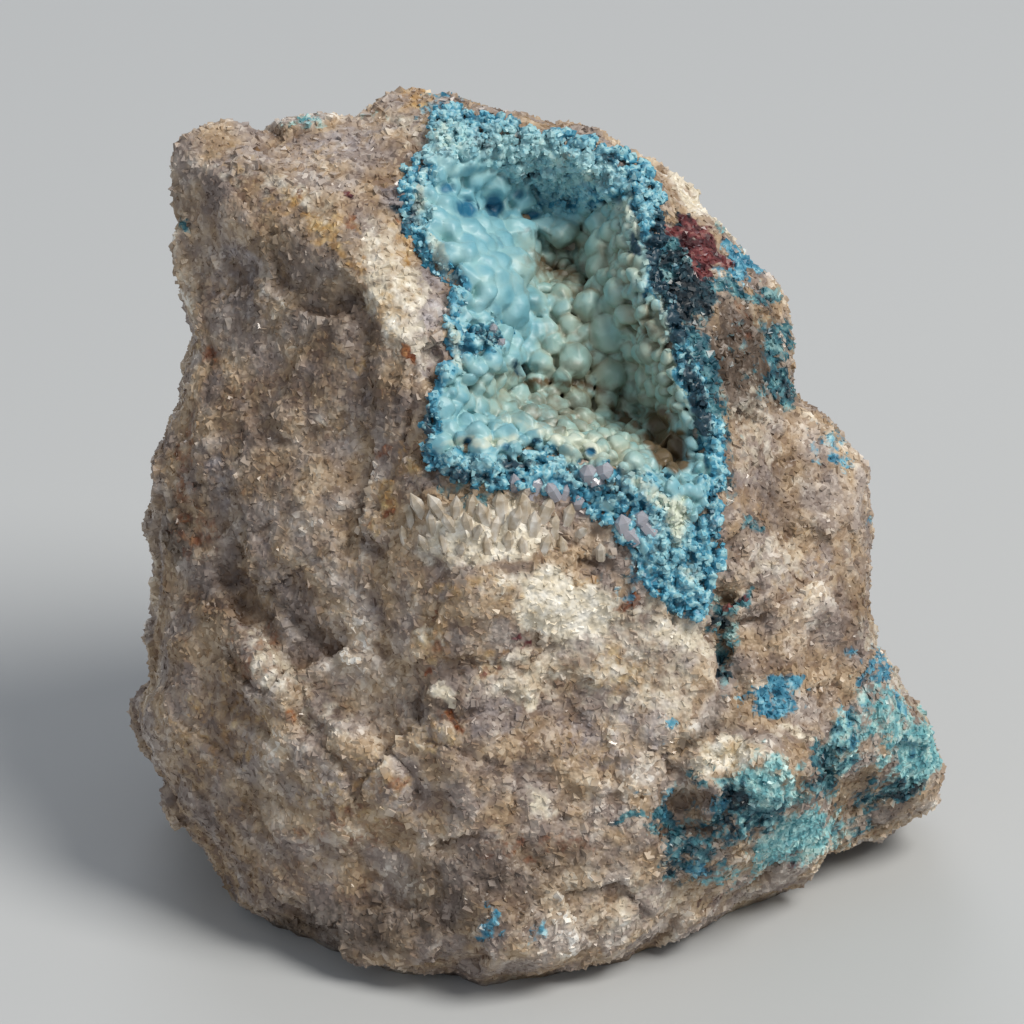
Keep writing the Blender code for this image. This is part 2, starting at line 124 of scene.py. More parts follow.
def add_node(tree, kind, inputs=None, **settings):
    """Adds a node. An input that is given a socket is linked to it, and any other gets the value."""
    node = tree.nodes.new(kind)
    for name, value in settings.items():
        setattr(node, name, value)
    for socket, value in (inputs or {}).items():
        if isinstance(value, bpy.types.NodeSocket):
            tree.links.new(value, node.inputs[socket])
        else:
            node.inputs[socket].default_value = value
    return node


def new_material(name):
    material = bpy.data.materials.new(name)
    material.use_nodes = True
    material.node_tree.nodes.clear()
    return material, material.node_tree


print("mid grey in linear light is", round(linear("#808080")[0], 3))

# %% [markdown]
# A specimen is shown on a plain pale ground in soft light. A large lamp above the right shoulder models
# the broken faces and leaves the left one in shade. A weaker one from the left and the pale sky fill in.
# Large area lamps give the wide, soft highlights that a window gives on quartz.

# %% Floor, lamps and sky
FLOOR_SIZE = 6.0
LAMPS = (  # name, place in metres, size in metres, power in watts, colour
    ("window", (0.44, -0.28, 0.70), 0.42, 6.6, "#fffaf2"),
    ("fill", (-0.60, -0.62, 0.38), 0.60, 0.55, "#eef4ff"),
    ("back", (-0.15, 0.70, 0.60), 0.50, 1.6, "#f6f8ff"),
)
SKY = ("#c3c7cb", 0.50)


def add_floor():
    mesh = bpy.data.meshes.new("floor")
    half = FLOOR_SIZE / 2
    corners = [(-half, -half, 0), (half, -half, 0), (half, half, 0), (-half, half, 0)]
    mesh.from_pydata(corners, [], [(0, 1, 2, 3)])
    floor = bpy.data.objects.new("floor", mesh)
    bpy.context.scene.collection.objects.link(floor)
    material, tree = new_material("matt_paper_ground")
    shader = add_node(tree, "ShaderNodeBsdfPrincipled", {"Base Color": linear("#bfc2c4"), "Roughness": 0.9})
    add_node(tree, "ShaderNodeOutputMaterial", {"Surface": shader.outputs["BSDF"]})
    mesh.materials.append(material)


def add_lamp(name, place, size, power, colour):
    data = bpy.data.lights.new(name, "AREA")
    data.shape, data.size, data.energy = "DISK", size, power
    data.color = linear(colour)[:3]
    lamp = bpy.data.objects.new(name, data)
    lamp.location = place
    lamp.rotation_euler = (Vector(place) - Vector((0, 0, 0.03))).to_track_quat("Z", "Y").to_euler()
    bpy.context.scene.collection.objects.link(lamp)


def add_sky(colour, strength):
    world = bpy.data.worlds.new("sky")
    world.use_nodes = True
    sky = world.node_tree.nodes["Background"]
    sky.inputs["Color"].default_value = linear(colour)
    sky.inputs["Strength"].default_value = strength
    bpy.context.scene.world = world


add_floor()
for lamp in LAMPS:
    add_lamp(*lamp)
add_sky(*SKY)
bpy.context.scene.view_settings.view_transform = "Standard"
print(len(LAMPS), "lamps")

# %% [markdown]
# The rock broke along flat faces, and each face is rough at three scales: steps of a few millimetres,
# chips of one or two, and the grains themselves. The plain solid has the faces and the steps. Its
# merged copy is remeshed into an even fine skin, and the chips and grains are then pushed in and out
# of it. A bump map would be cheaper, but it would leave the outline smooth and the mesh plain.

# %% The rock's skin
SKIN_VOXEL = 0.30
SKIN_SMOOTHING = 6
SKIN_TRIANGLES = 190000


def plain_mesh(thing, name):
    """The evaluated shape of an object, its modifiers worked in, as a mesh of its own."""
    graph = bpy.context.evaluated_depsgraph_get()
    mesh = bpy.data.meshes.new_from_object(thing.evaluated_get(graph))
    mesh.name = name
    return mesh


def merged_copy(node, name):
    form = bmesh.new()
    form.from_mesh(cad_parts[node].data)
    bmesh.ops.remove_doubles(form, verts=form.verts, dist=1e-6)
    mesh = bpy.data.meshes.new(name)
    form.to_mesh(mesh)
    form.free()
    return mesh


def object_of(name, mesh):
    thing = bpy.data.objects.new(name, mesh)
    bpy.context.scene.collection.objects.link(thing)
    return thing


def worked(mesh, *modifiers):
    """A mesh after a row of modifiers, each given as its kind and its settings."""
    helper = object_of("helper", mesh)
    for kind, settings in modifiers:
        modifier = helper.modifiers.new(kind.lower(), kind)
        for name, value in settings.items():
            setattr(modifier, name, value)
    done = plain_mesh(helper, mesh.name)
    bpy.data.objects.remove(helper)
    bpy.data.meshes.remove(mesh)
    return done


def in_order(mesh):
    """The same quads, sorted by place: a remesh works in threads, which leave them in any order."""
    world = places(mesh)
    order = np.lexsort(world.T)
    quads = np.argsort(order)[np.array([tuple(face.vertices) for face in mesh.polygons])]
    turns = (quads.argmin(axis=1)[:, None] + np.arange(4)) % 4
    quads = np.take_along_axis(quads, turns, axis=1)
    quads = quads[np.lexsort(quads.T[::-1])]
    name = mesh.name
    bpy.data.meshes.remove(mesh)
    mesh = bpy.data.meshes.new(name)
    mesh.from_pydata((world[order] * MM).tolist(), [], quads.tolist())
    return mesh


def places(mesh):
    """The vertices in millimetres of the frame."""
    flat = np.empty(3 * len(mesh.vertices), np.float32)
    mesh.vertices.foreach_get("co", flat)
    return flat.reshape(-1, 3).astype(float) / MM


def normals(mesh):
    flat = np.empty(3 * len(mesh.vertices), np.float32)
    mesh.vertices.foreach_get("normal", flat)
    return flat.reshape(-1, 3).astype(float)


def set_places(mesh, world):
    mesh.vertices.foreach_set("co", (world * MM).astype(np.float32).ravel())
    mesh.update()


def set_values(mesh, name, values):
    attribute = mesh.attributes.new(name, "FLOAT", "POINT")
    attribute.data.foreach_set("value", np.asarray(values, np.float32))


def triangle_count(mesh):
    return sum(len(face.vertices) - 2 for face in mesh.polygons)


remesh = ("REMESH", {"mode": "VOXEL", "voxel_size": SKIN_VOXEL * MM})
smooth = ("SMOOTH", {"factor": 0.5, "iterations": SKIN_SMOOTHING})
skin = worked(merged_copy("quartz_stone", "stone_surface"), remesh, smooth)
print("the skin has", len(skin.vertices), "vertices")

# %% [markdown]
# Broken rock is a heap of small facets. Blender's Voronoi noise gives the nearest of many scattered
# seed points, and each seed can have a height and a tilt of its own: that makes chips with sharp edges
# between them. Places that differ from the rest, such as a ledge or a stain, are laid out as
# ellipses on the display side. The helpers below serve both, here and for the crust.

# %% Helpers for relief and patches
CHIP_SEED = 1  # of the noise that tilts the chips: without a seed it follows the clock

noise.seed_set(CHIP_SEED)


def smoothstep(low, high, value):
    share = np.clip((value - low) / (high - low), 0.0, 1.0)
    return share * share * (3.0 - 2.0 * share)


def blobs(points, size, place=0.0):
    """Smooth noise from about -1 to 1, with blobs of a size in millimetres."""
    return np.array([noise.noise(point) for point in map(Vector, points / size + place)])


def chips(points, size):
    """For each point, the noise of its chip from -1 to 1, and how far the chip's own tilt lifts it."""
    heights, tilts = np.empty(len(points)), np.empty(len(points))
    for index, point in enumerate(map(Vector, points / size)):
        seed = noise.voronoi(point)[1][0]
        heights[index] = noise.noise(seed * 3.7)
        tilts[index] = (point - seed).dot(noise.noise_vector(seed * 5.3))
    return heights * 1.6, tilts * 1.6


def inside_depth(flat, outline):
    """How far each point of the display plane lies inside an outline: negative outside it."""
    corners = np.array(outline, float)
    inside = np.zeros(len(flat), bool)
    nearest = np.full(len(flat), np.inf)
    for start, end in zip(corners, np.roll(corners, -1, axis=0)):
        along = end - start
        share = np.clip(((flat - start) @ along) / (along @ along), 0.0, 1.0)
        nearest = np.minimum(nearest, np.linalg.norm(flat - start - share[:, None] * along, axis=1))
        spans = (start[1] > flat[:, 1]) != (end[1] > flat[:, 1])
        rise = end[1] - start[1] or 1e-9
        crossing = start[0] + (flat[:, 1] - start[1]) * along[0] / rise
        inside ^= spans & (flat[:, 0] < crossing)
    return np.where(inside, nearest, -nearest)


def patch_values(flat, patches):
    """The strongest patch at each point. A patch: across, up, half sizes, turn in degrees, strength."""
    values = np.zeros(len(flat))
    for across, up, half_width, half_height, turn, strength in patches:
        cosine, sine = math.cos(math.radians(turn)), math.sin(math.radians(turn))
        off_across, off_up = flat[:, 0] - across, flat[:, 1] - up
        u = (off_across * cosine + off_up * sine) / half_width
        v = (off_up * cosine - off_across * sine) / half_height
        values = np.maximum(values, strength * (1.0 - smoothstep(0.4, 1.4, np.hypot(u, v))))
    return values


print("blobs at the heart:", round(blobs(np.zeros((1, 3)), 1.0, 0.3)[0], 3))

# %% [markdown]
# The skin gets three sizes of chips, and a few forms that the plain solid is too coarse for: ledges and
# blocks that stand out, and cracks and hollows that run in. The pocket has caves between its lobes, which
# sink the rock and later the crust alike. The flat break below stays flat, and so does most of the rock
# that the crust hides.

# %% Relief
CHIPS = (  # size, height of a chip over its neighbours, and height of its tilt, in millimetres
    (6.5, 0.42, 0.75),
    (2.6, 0.18, 0.24),
    (1.0, 0.05, 0.12),
)
# Forms on the open rock: across, up, half sizes, turn, how far they stand out in millimetres
RISES = (
    (-18.4, -9.6, 3.8, 1.7, -42, 1.0), (-6.0, -10.8, 1.4, 1.0, 0, 0.6), (13.9, -15.4, 3.4, 1.6, 12, 0.8),
    (-3.4, 1.6, 2.6, 1.2, 0, 0.4), (16.2, 8.4, 1.4, 3.0, 0, 0.5), (8.8, -13.2, 1.4, 1.0, 10, 0.4),
    (0.8, -18.6, 1.4, 1.4, 0, 0.4), (24.6, -9.0, 1.8, 1.2, -20, 0.4), (-9.8, 19.0, 1.2, 3.4, 25, 0.4),
    (-14.6, 3.4, 2.4, 2.6, 30, 0.4), (20.6, -3.4, 1.6, 2.4, 10, 0.4), (-9.2, -2.6, 2.4, 1.8, -30, 0.4),
    (3.4, -4.0, 3.0, 2.0, 0, 0.4), (-14.4, -13.4, 2.6, 0.9, -42, 0.6), (-19.6, -1.0, 3.4, 0.8, -55, 0.5),
    (-12.6, 1.6, 0.7, 4.6, 14, 0.4), (-9.0, -15.6, 2.6, 1.0, -35, 0.4), (18.6, -13.4, 2.2, 0.7, -20, 0.6),
    (-23.4, 7.4, 1.2, 2.6, 0, 0.4), (2.0, -14.2, 3.2, 1.0, 12, 0.4), (0.8, -8.6, 2.4, 0.8, -10, 0.35),
    (16.4, -16.6, 3.8, 4.4, 12, 0.9), (15.0, -4.7, 2.6, 0.55, 22, 1.0),
)
DROPS = (
    (-20.4, -12.4, 3.0, 1.0, -42, 0.7), (-15.4, -6.8, 2.8, 0.8, -42, 0.8), (-4.6, -12.4, 1.8, 0.6, 10, 0.5),
    (13.7, -8.4, 0.5, 2.6, 6, 1.1), (12.4, -18.4, 3.4, 0.8, 10, 0.7), (21.0, -14.0, 0.8, 3.6, -8, 0.6),
    (17.6, 5.0, 0.9, 3.0, 15, 0.5), (-12.6, 15.6, 1.4, 3.4, 20, 0.6), (-21.6, 1.8, 1.2, 4.0, 10, 0.4),
    (12.4, 20.0, 0.8, 1.6, 0, 0.4), (-16.6, -11.8, 3.4, 0.6, -42, 0.5), (-21.0, -3.4, 3.0, 0.7, -55, 0.5),
    (-10.4, -6.4, 0.7, 3.0, 12, 0.3), (-17.4, 10.6, 2.4, 0.8, 10, 0.1), (-3.6, -15.6, 3.0, 0.6, -30, 0.3),
    (15.0, -18.6, 1.6, 0.7, 20, 0.6), (20.9, -16.0, 0.9, 2.8, 0, 0.9), (6.2, -17.2, 0.6, 2.4, -10, 0.4),
    (14.8, -5.9, 2.2, 0.5, 22, 0.7),
)
# Where the pocket runs deeper between the lobes: across, up, half sizes, turn, depth in millimetres
CAVES = (
    (1.8, 20.2, 2.4, 1.1, -12, 1.3), (4.2, 18.4, 1.4, 0.7, -10, 1.4), (0.1, 26.6, 1.0, 0.7, 0, 1.2),
    (2.2, 25.0, 1.5, 0.7, -20, 1.3), (8.4, 15.6, 0.5, 1.6, 5, 1.4), (9.6, 7.0, 1.0, 2.4, 12, 2.0),
    (-1.0, 12.2, 0.6, 0.7, 0, 1.6), (7.5, 21.2, 0.35, 2.0, 28, 1.3), (-6.9, 12.6, 0.6, 1.6, 10, 0.8),
    (1.6, 10.9, 1.3, 0.45, -10, 0.9), (-2.3, 11.0, 0.9, 0.4, 0, 0.8), (4.7, 10.6, 1.3, 0.4, -20, 0.9),
    (6.9, 8.9, 1.4, 0.45, -35, 1.0), (6.7, 3.4, 0.35, 0.35, 0, 1.0), (2.3, 8.3, 0.6, 0.35, 0, 0.7),
    (-0.8, 5.4, 1.8, 0.35, 0, 0.7), (0.0, 10.0, 0.5, 0.5, 0, 0.9),
    (1.5, 9.6, 3.8, 1.6, -8, 0.8),
)
FAR_CHIPS = 0.5  # how much coarser the chips of the far side are
FRONT_SIDE = (-6.0, -1.0)  # between these heights toward the eye, forms of the front run out
BASE_MARGIN = 0.35  # the flat break starts this close to the ground
# The crust's outline, clockwise from the top left: across, up
CRUST_OUTLINE = (
    (-9.6, 25.7), (-7.6, 28.3), (-7.1, 31.0), (-5.8, 31.2), (-3.6, 30.6), (-0.7, 29.8),
    (2.2, 29.3), (5.8, 28.1), (8.4, 26.5), (9.4, 24.4), (9.4, 21.7), (9.1, 18.8),
    (10.5, 15.9), (11.6, 12.3), (12.9, 8.7), (13.6, 5.1), (13.2, 2.2), (13.4, -1.4),
    (12.7, -4.3), (11.6, -5.5), (9.8, -4.7), (8.0, -3.3), (6.9, -0.7), (5.1, 1.4),
    (2.9, 2.9), (-0.7, 3.6), (-4.3, 4.0), (-6.9, 5.1), (-7.7, 6.7), (-7.4, 8.3),
    (-6.9, 11.2), (-5.4, 12.9), (-6.2, 15.5), (-5.0, 18.0), (-7.2, 20.3), (-8.9, 22.8),
)
CRUST_FAR = -4.0  # the crust lies nearer to the eye than this


def sink(mesh):
    """Lowers a surface into the caves, away from the eye."""
    display = to_display(places(mesh))
    display[:, 2] -= patch_values(display[:, :2], CAVES) * smoothstep(*FRONT_SIDE, display[:, 2])
    set_places(mesh, to_world(display))
    return mesh


def roughen(mesh):
    world = places(mesh)
    display = to_display(world)
    covered = smoothstep(0.0, 1.5, inside_depth(display[:, :2], CRUST_OUTLINE))
    covered *= smoothstep(CRUST_FAR - 1.0, CRUST_FAR + 1.0, display[:, 2])
    standing = smoothstep(0.0, 1.5, world[:, 2] - BASE_MARGIN)
    bent = display[:, :2] + 0.6 * np.stack([blobs(display, 1.5, place) for place in (7.3, 19.1)], axis=1)
    push = (patch_values(bent, RISES) - patch_values(bent, DROPS)) * smoothstep(*FRONT_SIDE, display[:, 2])
    coarser = 1.0 + FAR_CHIPS * (1.0 - smoothstep(*FRONT_SIDE, display[:, 2]))
    for size, height, tilt in CHIPS:
        heights, tilts = chips(world, size)
        push += (height * heights + tilt * tilts) * coarser
    set_places(mesh, world + normals(mesh) * (push * standing * (1.0 - 0.85 * covered))[:, None])
    return push


push = roughen(sink(skin))
print("relief from", round(push.min(), 2), "to", round(push.max(), 2), "mm")

# %% Thin the skin, keep its feet on the ground, and mark its ridges
RIDGE_STEPS = 30  # of smoothing, which blurs forms of about a millimetre away
RIDGE_HEIGHT = 0.26


def mark_ridges(mesh):
    """Stores how far each vertex stands out of its blurred surroundings, and how far it lies back."""
    blurred = worked(mesh.copy(), ("SMOOTH", {"factor": 0.5, "iterations": RIDGE_STEPS}))
    lift = ((places(mesh) - places(blurred)) * normals(mesh)).sum(axis=1) / RIDGE_HEIGHT
    bpy.data.meshes.remove(blurred)
    set_values(mesh, "ridge", np.clip(lift, 0.0, 1.0))
    set_values(mesh, "recess", np.clip(-lift, 0.0, 1.0))


skin = worked(skin, ("DECIMATE", {"ratio": SKIN_TRIANGLES / triangle_count(skin)}))
world = places(skin)
floor_height = places(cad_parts["quartz_stone"].data)[:, 2].min()
resting = world[:, 2] < floor_height + BASE_MARGIN
world[resting, 2] = floor_height
set_places(skin, world)
mark_ridges(skin)
print("the skin keeps", triangle_count(skin), "triangles")

# %% [markdown]
# Copper, iron and carbonate stain the rock in patches. Beside them lie shade patches, painted shade on
# the left face, at the foot and in hollows, and the rock's own darker colour on the right flank; some
# milk patches are painted light on lit edges. Each patch's edge wanders with noise, and the result is
# stored on the skin as one number per vertex for each kind of stain. Painting an image would need UVs
# and would smear on the flanks. The far side has a few patches of its own, so that a patch never shines
# through the stone.

# %% Where the stains lie
# Each patch: across, up, half width, half height, turn in degrees, strength
STAINS = {
    "azure": (
        (15.4, 20.1, 2.1, 1.2, -10, 1.5), (9.4, 20.4, 0.8, 1.6, 0, 0.9), (21.7, 6.7, 1.3, 2.2, 10, 0.8),
        (24.8, 1.1, 0.5, 0.6, 0, 1.0), (17.3, -11.1, 2.6, 1.3, 10, 1.2), (9.6, -13.2, 0.7, 0.7, 0, 1.0),
        (25.0, -9.3, 1.8, 1.3, -10, 1.0), (22.7, -13.4, 1.4, 2.4, 0, 0.6), (-3.0, -27.2, 1.2, 0.7, 0, 0.9),
        (0.2, -27.5, 1.3, 0.9, 0, 0.9), (11.6, -4.4, 1.6, 1.1, 0, 0.9), (9.6, -18.2, 0.5, 1.2, 0, 0.8),
        (13.2, -19.0, 1.3, 0.9, 20, 0.95), (-6.5, 31.6, 2.6, 1.4, 0, 0.7), (12.4, -23.8, 1.4, 1.2, 0, 0.7),
        (27.6, -14.6, 1.2, 1.8, 0, 0.6), (-1.6, 29.4, 5.0, 1.0, -5, 0.5), (7.4, -2.6, 1.6, 2.6, -30, 0.5),
        (17.8, 12.4, 0.8, 1.4, 0, 0.5), (8.2, -17.9, 1.6, 0.4, -10, 0.6), (26.6, -12.2, 0.5, 1.4, 0, 0.7),
    ),
    "teal": (
        (10.6, 18.6, 2.4, 3.6, 0, 1.4), (13.9, 18.4, 2.6, 1.2, -10, 1.1), (17.7, 14.1, 1.3, 1.6, 0, 1.0),
        (17.8, 11.2, 1.5, 1.7, 0, 1.0), (16.9, 17.2, 1.7, 0.9, -20, 1.0), (11.9, 12.0, 1.3, 5.0, 12, 1.1),
        (15.7, 0.9, 0.8, 1.1, 0, 0.6), (14.4, -4.7, 2.2, 0.8, 14, 0.95), (13.6, -8.3, 0.8, 2.6, 6, 1.1),
        (7.8, -19.9, 2.2, 0.5, -8, 0.95), (9.9, -21.0, 0.8, 3.6, 8, 1.0), (12.0, -22.6, 2.2, 2.2, 0, 0.85),
        (14.8, -19.6, 4.2, 2.8, 20, 0.75), (21.0, -16.4, 1.5, 2.8, 0, 1.1), (23.0, -14.6, 2.6, 2.6, 0, 0.6),
        (26.6, -18.6, 3.4, 1.5, 20, 0.85), (24.0, -21.4, 3.0, 1.2, 20, 0.5), (12.0, -16.6, 1.2, 0.7, 30, 0.7),
        (-25.0, 22.8, 0.5, 0.5, 0, 0.8), (-6.4, 28.0, 1.6, 2.2, 0, 0.4), (13.4, 7.2, 1.2, 4.4, 5, 0.75),
        (-3.4, 3.2, 3.4, 0.9, -5, 0.6), (9.4, -0.6, 5.0, 5.0, -40, 0.4), (16.6, 22.4, 1.4, 1.0, -40, 0.5),
        (15.6, 13.5, 3.0, 4.5, 0, 0.35),
    ),
    # near-black copper stain, and painted shade in the crack, the hollows low on the right and the right rim
    "black_teal_and_shade": (
        (11.0, 18.0, 2.0, 2.8, 0, 1.2), (10.6, 22.9, 1.0, 0.6, -20, 0.9), (14.9, -18.6, 1.5, 0.8, 30, 1.0),
        (13.6, -20.6, 1.8, 0.6, 20, 0.9), (13.4, -8.8, 0.5, 2.2, 6, 0.9), (13.7, -5.6, 1.0, 0.3, 25, 1.0),
        (21.0, -16.2, 0.7, 1.8, 0, 0.8), (27.0, -18.4, 2.4, 0.8, 15, 0.7), (17.9, 11.2, 0.9, 0.9, 0, 0.6),
        (10.2, -22.0, 0.5, 2.0, 0, 0.6), (16.8, 17.0, 1.1, 0.5, 0, 0.7), (-8.9, 23.7, 0.6, 1.2, 25, 0.9),
        (13.2, -8.0, 0.3, 1.6, 0, 0.7), (8.3, -20.2, 1.2, 0.3, -5, 0.7), (12.2, 21.2, 1.6, 0.5, -30, 0.6),
    ),
    "turquoise": (
        (28.4, -15.4, 2.6, 2.5, 0, 1.5), (16.8, -17.8, 3.0, 3.0, 20, 1.1), (19.2, -21.6, 4.0, 2.0, 15, 1.3),
        (22.8, -14.4, 1.6, 2.4, 0, 1.0), (26.2, -13.2, 2.6, 2.4, -30, 0.9), (24.4, -11.4, 1.8, 2.2, 0, 0.7),
        (-16.7, 30.4, 1.8, 0.7, 0, 0.8), (12.4, -4.0, 1.6, 0.6, 10, 0.7), (14.2, -6.6, 1.0, 1.6, 0, 0.7),
        (22.6, -22.2, 2.6, 1.2, 20, 0.6), (13.4, -24.4, 2.2, 1.0, 10, 0.6), (-11.0, 30.6, 1.6, 0.8, 0, 0.3),
        (26.6, -16.4, 2.4, 0.8, 0, 0.8), (13.0, 22.2, 1.0, 0.6, -40, 0.6), (16.2, -24.0, 1.6, 0.8, 10, 0.6),
    ),
    "iron": (
        (11.0, 22.2, 1.2, 0.9, -25, 1.2), (12.5, 20.6, 1.5, 1.0, -40, 1.5), (13.2, 19.3, 0.7, 0.5, 0, 0.9),
        (-0.5, -7.6, 0.5, 0.4, 20, 0.9), (0.2, -8.3, 0.5, 0.3, 0, 0.9), (-2.4, -8.9, 1.4, 0.6, 10, 0.4),
        (14.6, -4.4, 1.3, 0.3, 20, 0.9), (19.4, -23.6, 1.6, 0.8, 15, 0.4), (13.0, -26.2, 1.4, 0.7, 15, 0.5),
        (22.6, -20.4, 0.6, 0.4, 0, 0.6), (-7.4, 26.8, 0.6, 0.8, 0, 0.5), (-12.6, 24.4, 0.4, 0.4, 0, 0.9),
    ),
    "rust": (
        (-10.3, 2.0, 0.9, 0.8, 0, 0.9), (-7.4, -9.3, 0.5, 1.0, 0, 0.9), (-5.2, -13.1, 1.2, 0.6, -20, 0.8),
        (-9.8, -17.4, 1.4, 1.0, 0, 0.6), (7.0, -4.2, 1.1, 0.5, -10, 0.7), (-12.4, 22.6, 0.9, 0.9, 0, 0.7),
        (-9.4, 22.6, 0.6, 0.6, 0, 0.7), (-22.8, 13.4, 0.9, 1.0, 0, 0.6), (-5.9, 9.8, 0.4, 0.4, 0, 0.6),
        (-10.6, 6.2, 0.5, 0.5, 0, 0.7), (-23.4, 0.6, 1.2, 2.6, 0, 0.45), (-16.8, -12.6, 1.2, 0.6, -42, 0.8),
        (-7.3, -6.4, 0.4, 2.4, 0, 0.5), (15.0, 15.6, 1.4, 1.6, 0, 0.45), (-24.8, 4.0, 0.8, 6.0, 0, 0.5),
        (-8.8, 13.2, 0.5, 0.5, 0, 0.9), (-16.6, 24.4, 0.5, 0.4, 0, 0.8), (-25.4, 0.6, 1.4, 2.6, 0, 0.4),
        (-12.6, -20.6, 5.0, 2.4, 0, 0.4), (0.6, -21.6, 5.0, 1.6, 5, 0.4), (-20.0, -8.0, 3.0, 2.4, 0, 0.35),
    ),
    "ochre": (
        (-14.5, 22.8, 1.4, 0.8, 0, 0.8), (-9.8, 2.9, 1.0, 1.2, 0, 0.85), (-10.3, 1.4, 1.4, 2.4, 0, 0.5),
        (-8.7, 21.7, 1.2, 0.8, 0, 0.7), (-13.2, 20.2, 1.4, 0.7, -30, 0.65), (-8.3, 32.2, 2.0, 1.0, 0, 0.75),
        (-7.2, 30.2, 1.1, 0.9, 0, 0.7), (4.2, -2.6, 1.2, 0.6, 5, 0.7), (-24.0, 15.0, 1.4, 1.2, 0, 0.5),
        (-8.6, 5.8, 1.0, 1.2, 0, 0.6), (-6.4, -14.0, 3.0, 1.4, -20, 0.45), (14.2, -14.9, 2.4, 1.4, 15, 0.4),
        (17.2, 16.0, 2.0, 3.0, 0, 0.35), (-22.0, -13.6, 5.0, 4.0, 0, 0.4), (6.4, -9.0, 3.0, 2.4, 0, 0.4),
        (-2.6, -3.0, 2.2, 1.6, 0, 0.45), (-11.6, 12.6, 1.2, 2.0, 0, 0.4), (-7.0, -7.0, 1.0, 2.4, -10, 0.5),
        (-18.0, 24.0, 3.0, 1.0, -20, 0.45), (-6.0, -3.4, 2.4, 1.4, 0, 0.4), (-12.0, -18.0, 5.0, 3.0, 0, 0.4),
        (20.0, -2.0, 3.0, 4.0, 0, 0.35), (-2.4, -8.6, 1.6, 0.8, 20, 0.5),
        (-16.7, 24.1, 1.0, 0.7, 0, 0.9), (-14.4, 21.9, 1.2, 0.6, 0, 0.8), (-12.0, 22.3, 1.1, 0.6, 0, 0.8),
        (-8.6, 20.1, 0.6, 0.9, 0, 0.8), (-9.6, 16.4, 1.8, 2.0, 0, 0.5), (-19.0, 27.0, 5.0, 2.0, 0, 0.35),
    ),
    # milky quartz, and painted light: the lit strip along the bench's edge and the lit ledge at lower left
    "milk_and_painted_light": (
        (2.6, -4.6, 4.2, 2.3, -8, 1.8), (0.9, -18.6, 1.4, 1.0, 0, 0.9), (-18.4, -9.0, 3.6, 1.8, -42, 0.6),
        (-14.6, -12.6, 3.6, 1.4, -42, 0.4), (-9.6, 17.6, 2.2, 6.0, 22, 0.8), (13.9, -15.2, 2.4, 1.4, 15, 1.2),
        (-3.4, 0.8, 6.0, 2.6, 0, 0.5), (-20.0, 26.0, 4.0, 1.6, -15, 0.4), (-17.0, 24.8, 3.4, 1.2, -25, 0.6),
        (9.6, -5.6, 3.0, 1.6, 10, 0.7), (15.9, 8.0, 2.6, 4.4, 0, 0.4), (12.4, 25.0, 4.4, 1.6, -48, 1.0),
        (16.4, 22.0, 1.2, 2.6, 20, 0.6), (27.4, -10.6, 1.2, 4.0, 25, 0.5), (17.4, -1.4, 2.6, 2.0, 0, 0.5),
        (-0.4, -9.6, 4.6, 2.0, 10, 0.55), (8.4, -10.8, 4.0, 2.6, 0, 0.55), (-8.0, 30.2, 4.0, 1.6, 0, 0.45),
        (6.0, -11.6, 3.0, 2.0, 0, 0.4), (-6.1, -10.8, 1.2, 0.8, 0, 1.0), (20.2, -4.0, 1.6, 3.6, 10, 0.35),
        (-7.2, -6.6, 0.9, 0.7, 0, 0.9), (0.0, -11.4, 0.9, 0.9, 0, 0.9), (10.8, -6.7, 2.0, 1.6, 0, 0.9),
        (19.0, -13.6, 1.8, 0.7, -20, 0.9), (-3.0, 0.8, 5.0, 2.4, 0, 1.1),
        (6.0, -8.0, 7.0, 4.0, 0, 0.5), (22.0, -2.0, 3.6, 7.0, 0, 0.2), (26.4, -9.0, 1.6, 4.4, 25, 0.6),
        (8.0, -26.0, 7.0, 2.0, 15, 0.4), (-9.4, 20.0, 1.4, 4.0, 20, 0.5),
    ),
    "lilac": (
        (-7.2, 15.2, 1.7, 5.4, 0, 0.75), (-9.3, 24.8, 1.3, 1.2, 0, 0.9), (-22.4, 5.0, 1.2, 1.8, 0, 0.7),
        (-14.2, 28.4, 4.4, 1.4, 5, 0.6), (5.6, -14.0, 5.0, 3.0, 0, 0.5), (-20.0, 18.4, 3.4, 4.0, 0, 0.45),
        (2.0, 3.2, 5.0, 1.4, -8, 0.6), (7.0, 2.0, 2.0, 1.6, 0, 0.6), (-16.0, -2.0, 8.0, 7.0, 0, 0.3),
        (-2.0, -12.4, 3.0, 2.0, 0, 0.45), (15.0, 4.0, 2.0, 2.4, 0, 0.4), (-13.0, 9.0, 4.0, 4.0, 0, 0.3),
    ),
    # painted shade on the left face, at the foot and in hollows; the right flank's darker rock colour
    "shade": (
        (-16.2, 20.0, 4.6, 4.4, 0, 0.62), (-9.4, 14.0, 1.6, 4.0, 20, 0.4), (-13.4, 15.4, 4.0, 5.4, 25, 0.6),
        (-8.8, 13.4, 0.7, 0.8, 0, 1.0), (-6.8, -11.2, 2.6, 2.2, 0, 0.55), (-12.0, -27.6, 11.0, 2.4, 8, 0.8),
        (24.4, -4.6, 2.6, 3.6, 0, 0.4), (-19.0, 0.0, 9.0, 14.0, 0, 0.42), (-20.0, -18.0, 8.0, 6.0, 0, 0.35),
        (-9.1, 23.8, 0.9, 1.6, 30, 0.8), (20.8, -18.0, 1.6, 3.4, 0, 0.6), (26.0, -20.6, 3.6, 1.6, 20, 0.5),
        (18.0, 12.0, 2.0, 5.0, 0, 0.35), (13.6, -12.6, 2.4, 1.2, 10, 0.5), (12.0, -20.6, 1.6, 1.4, 0, 0.7),
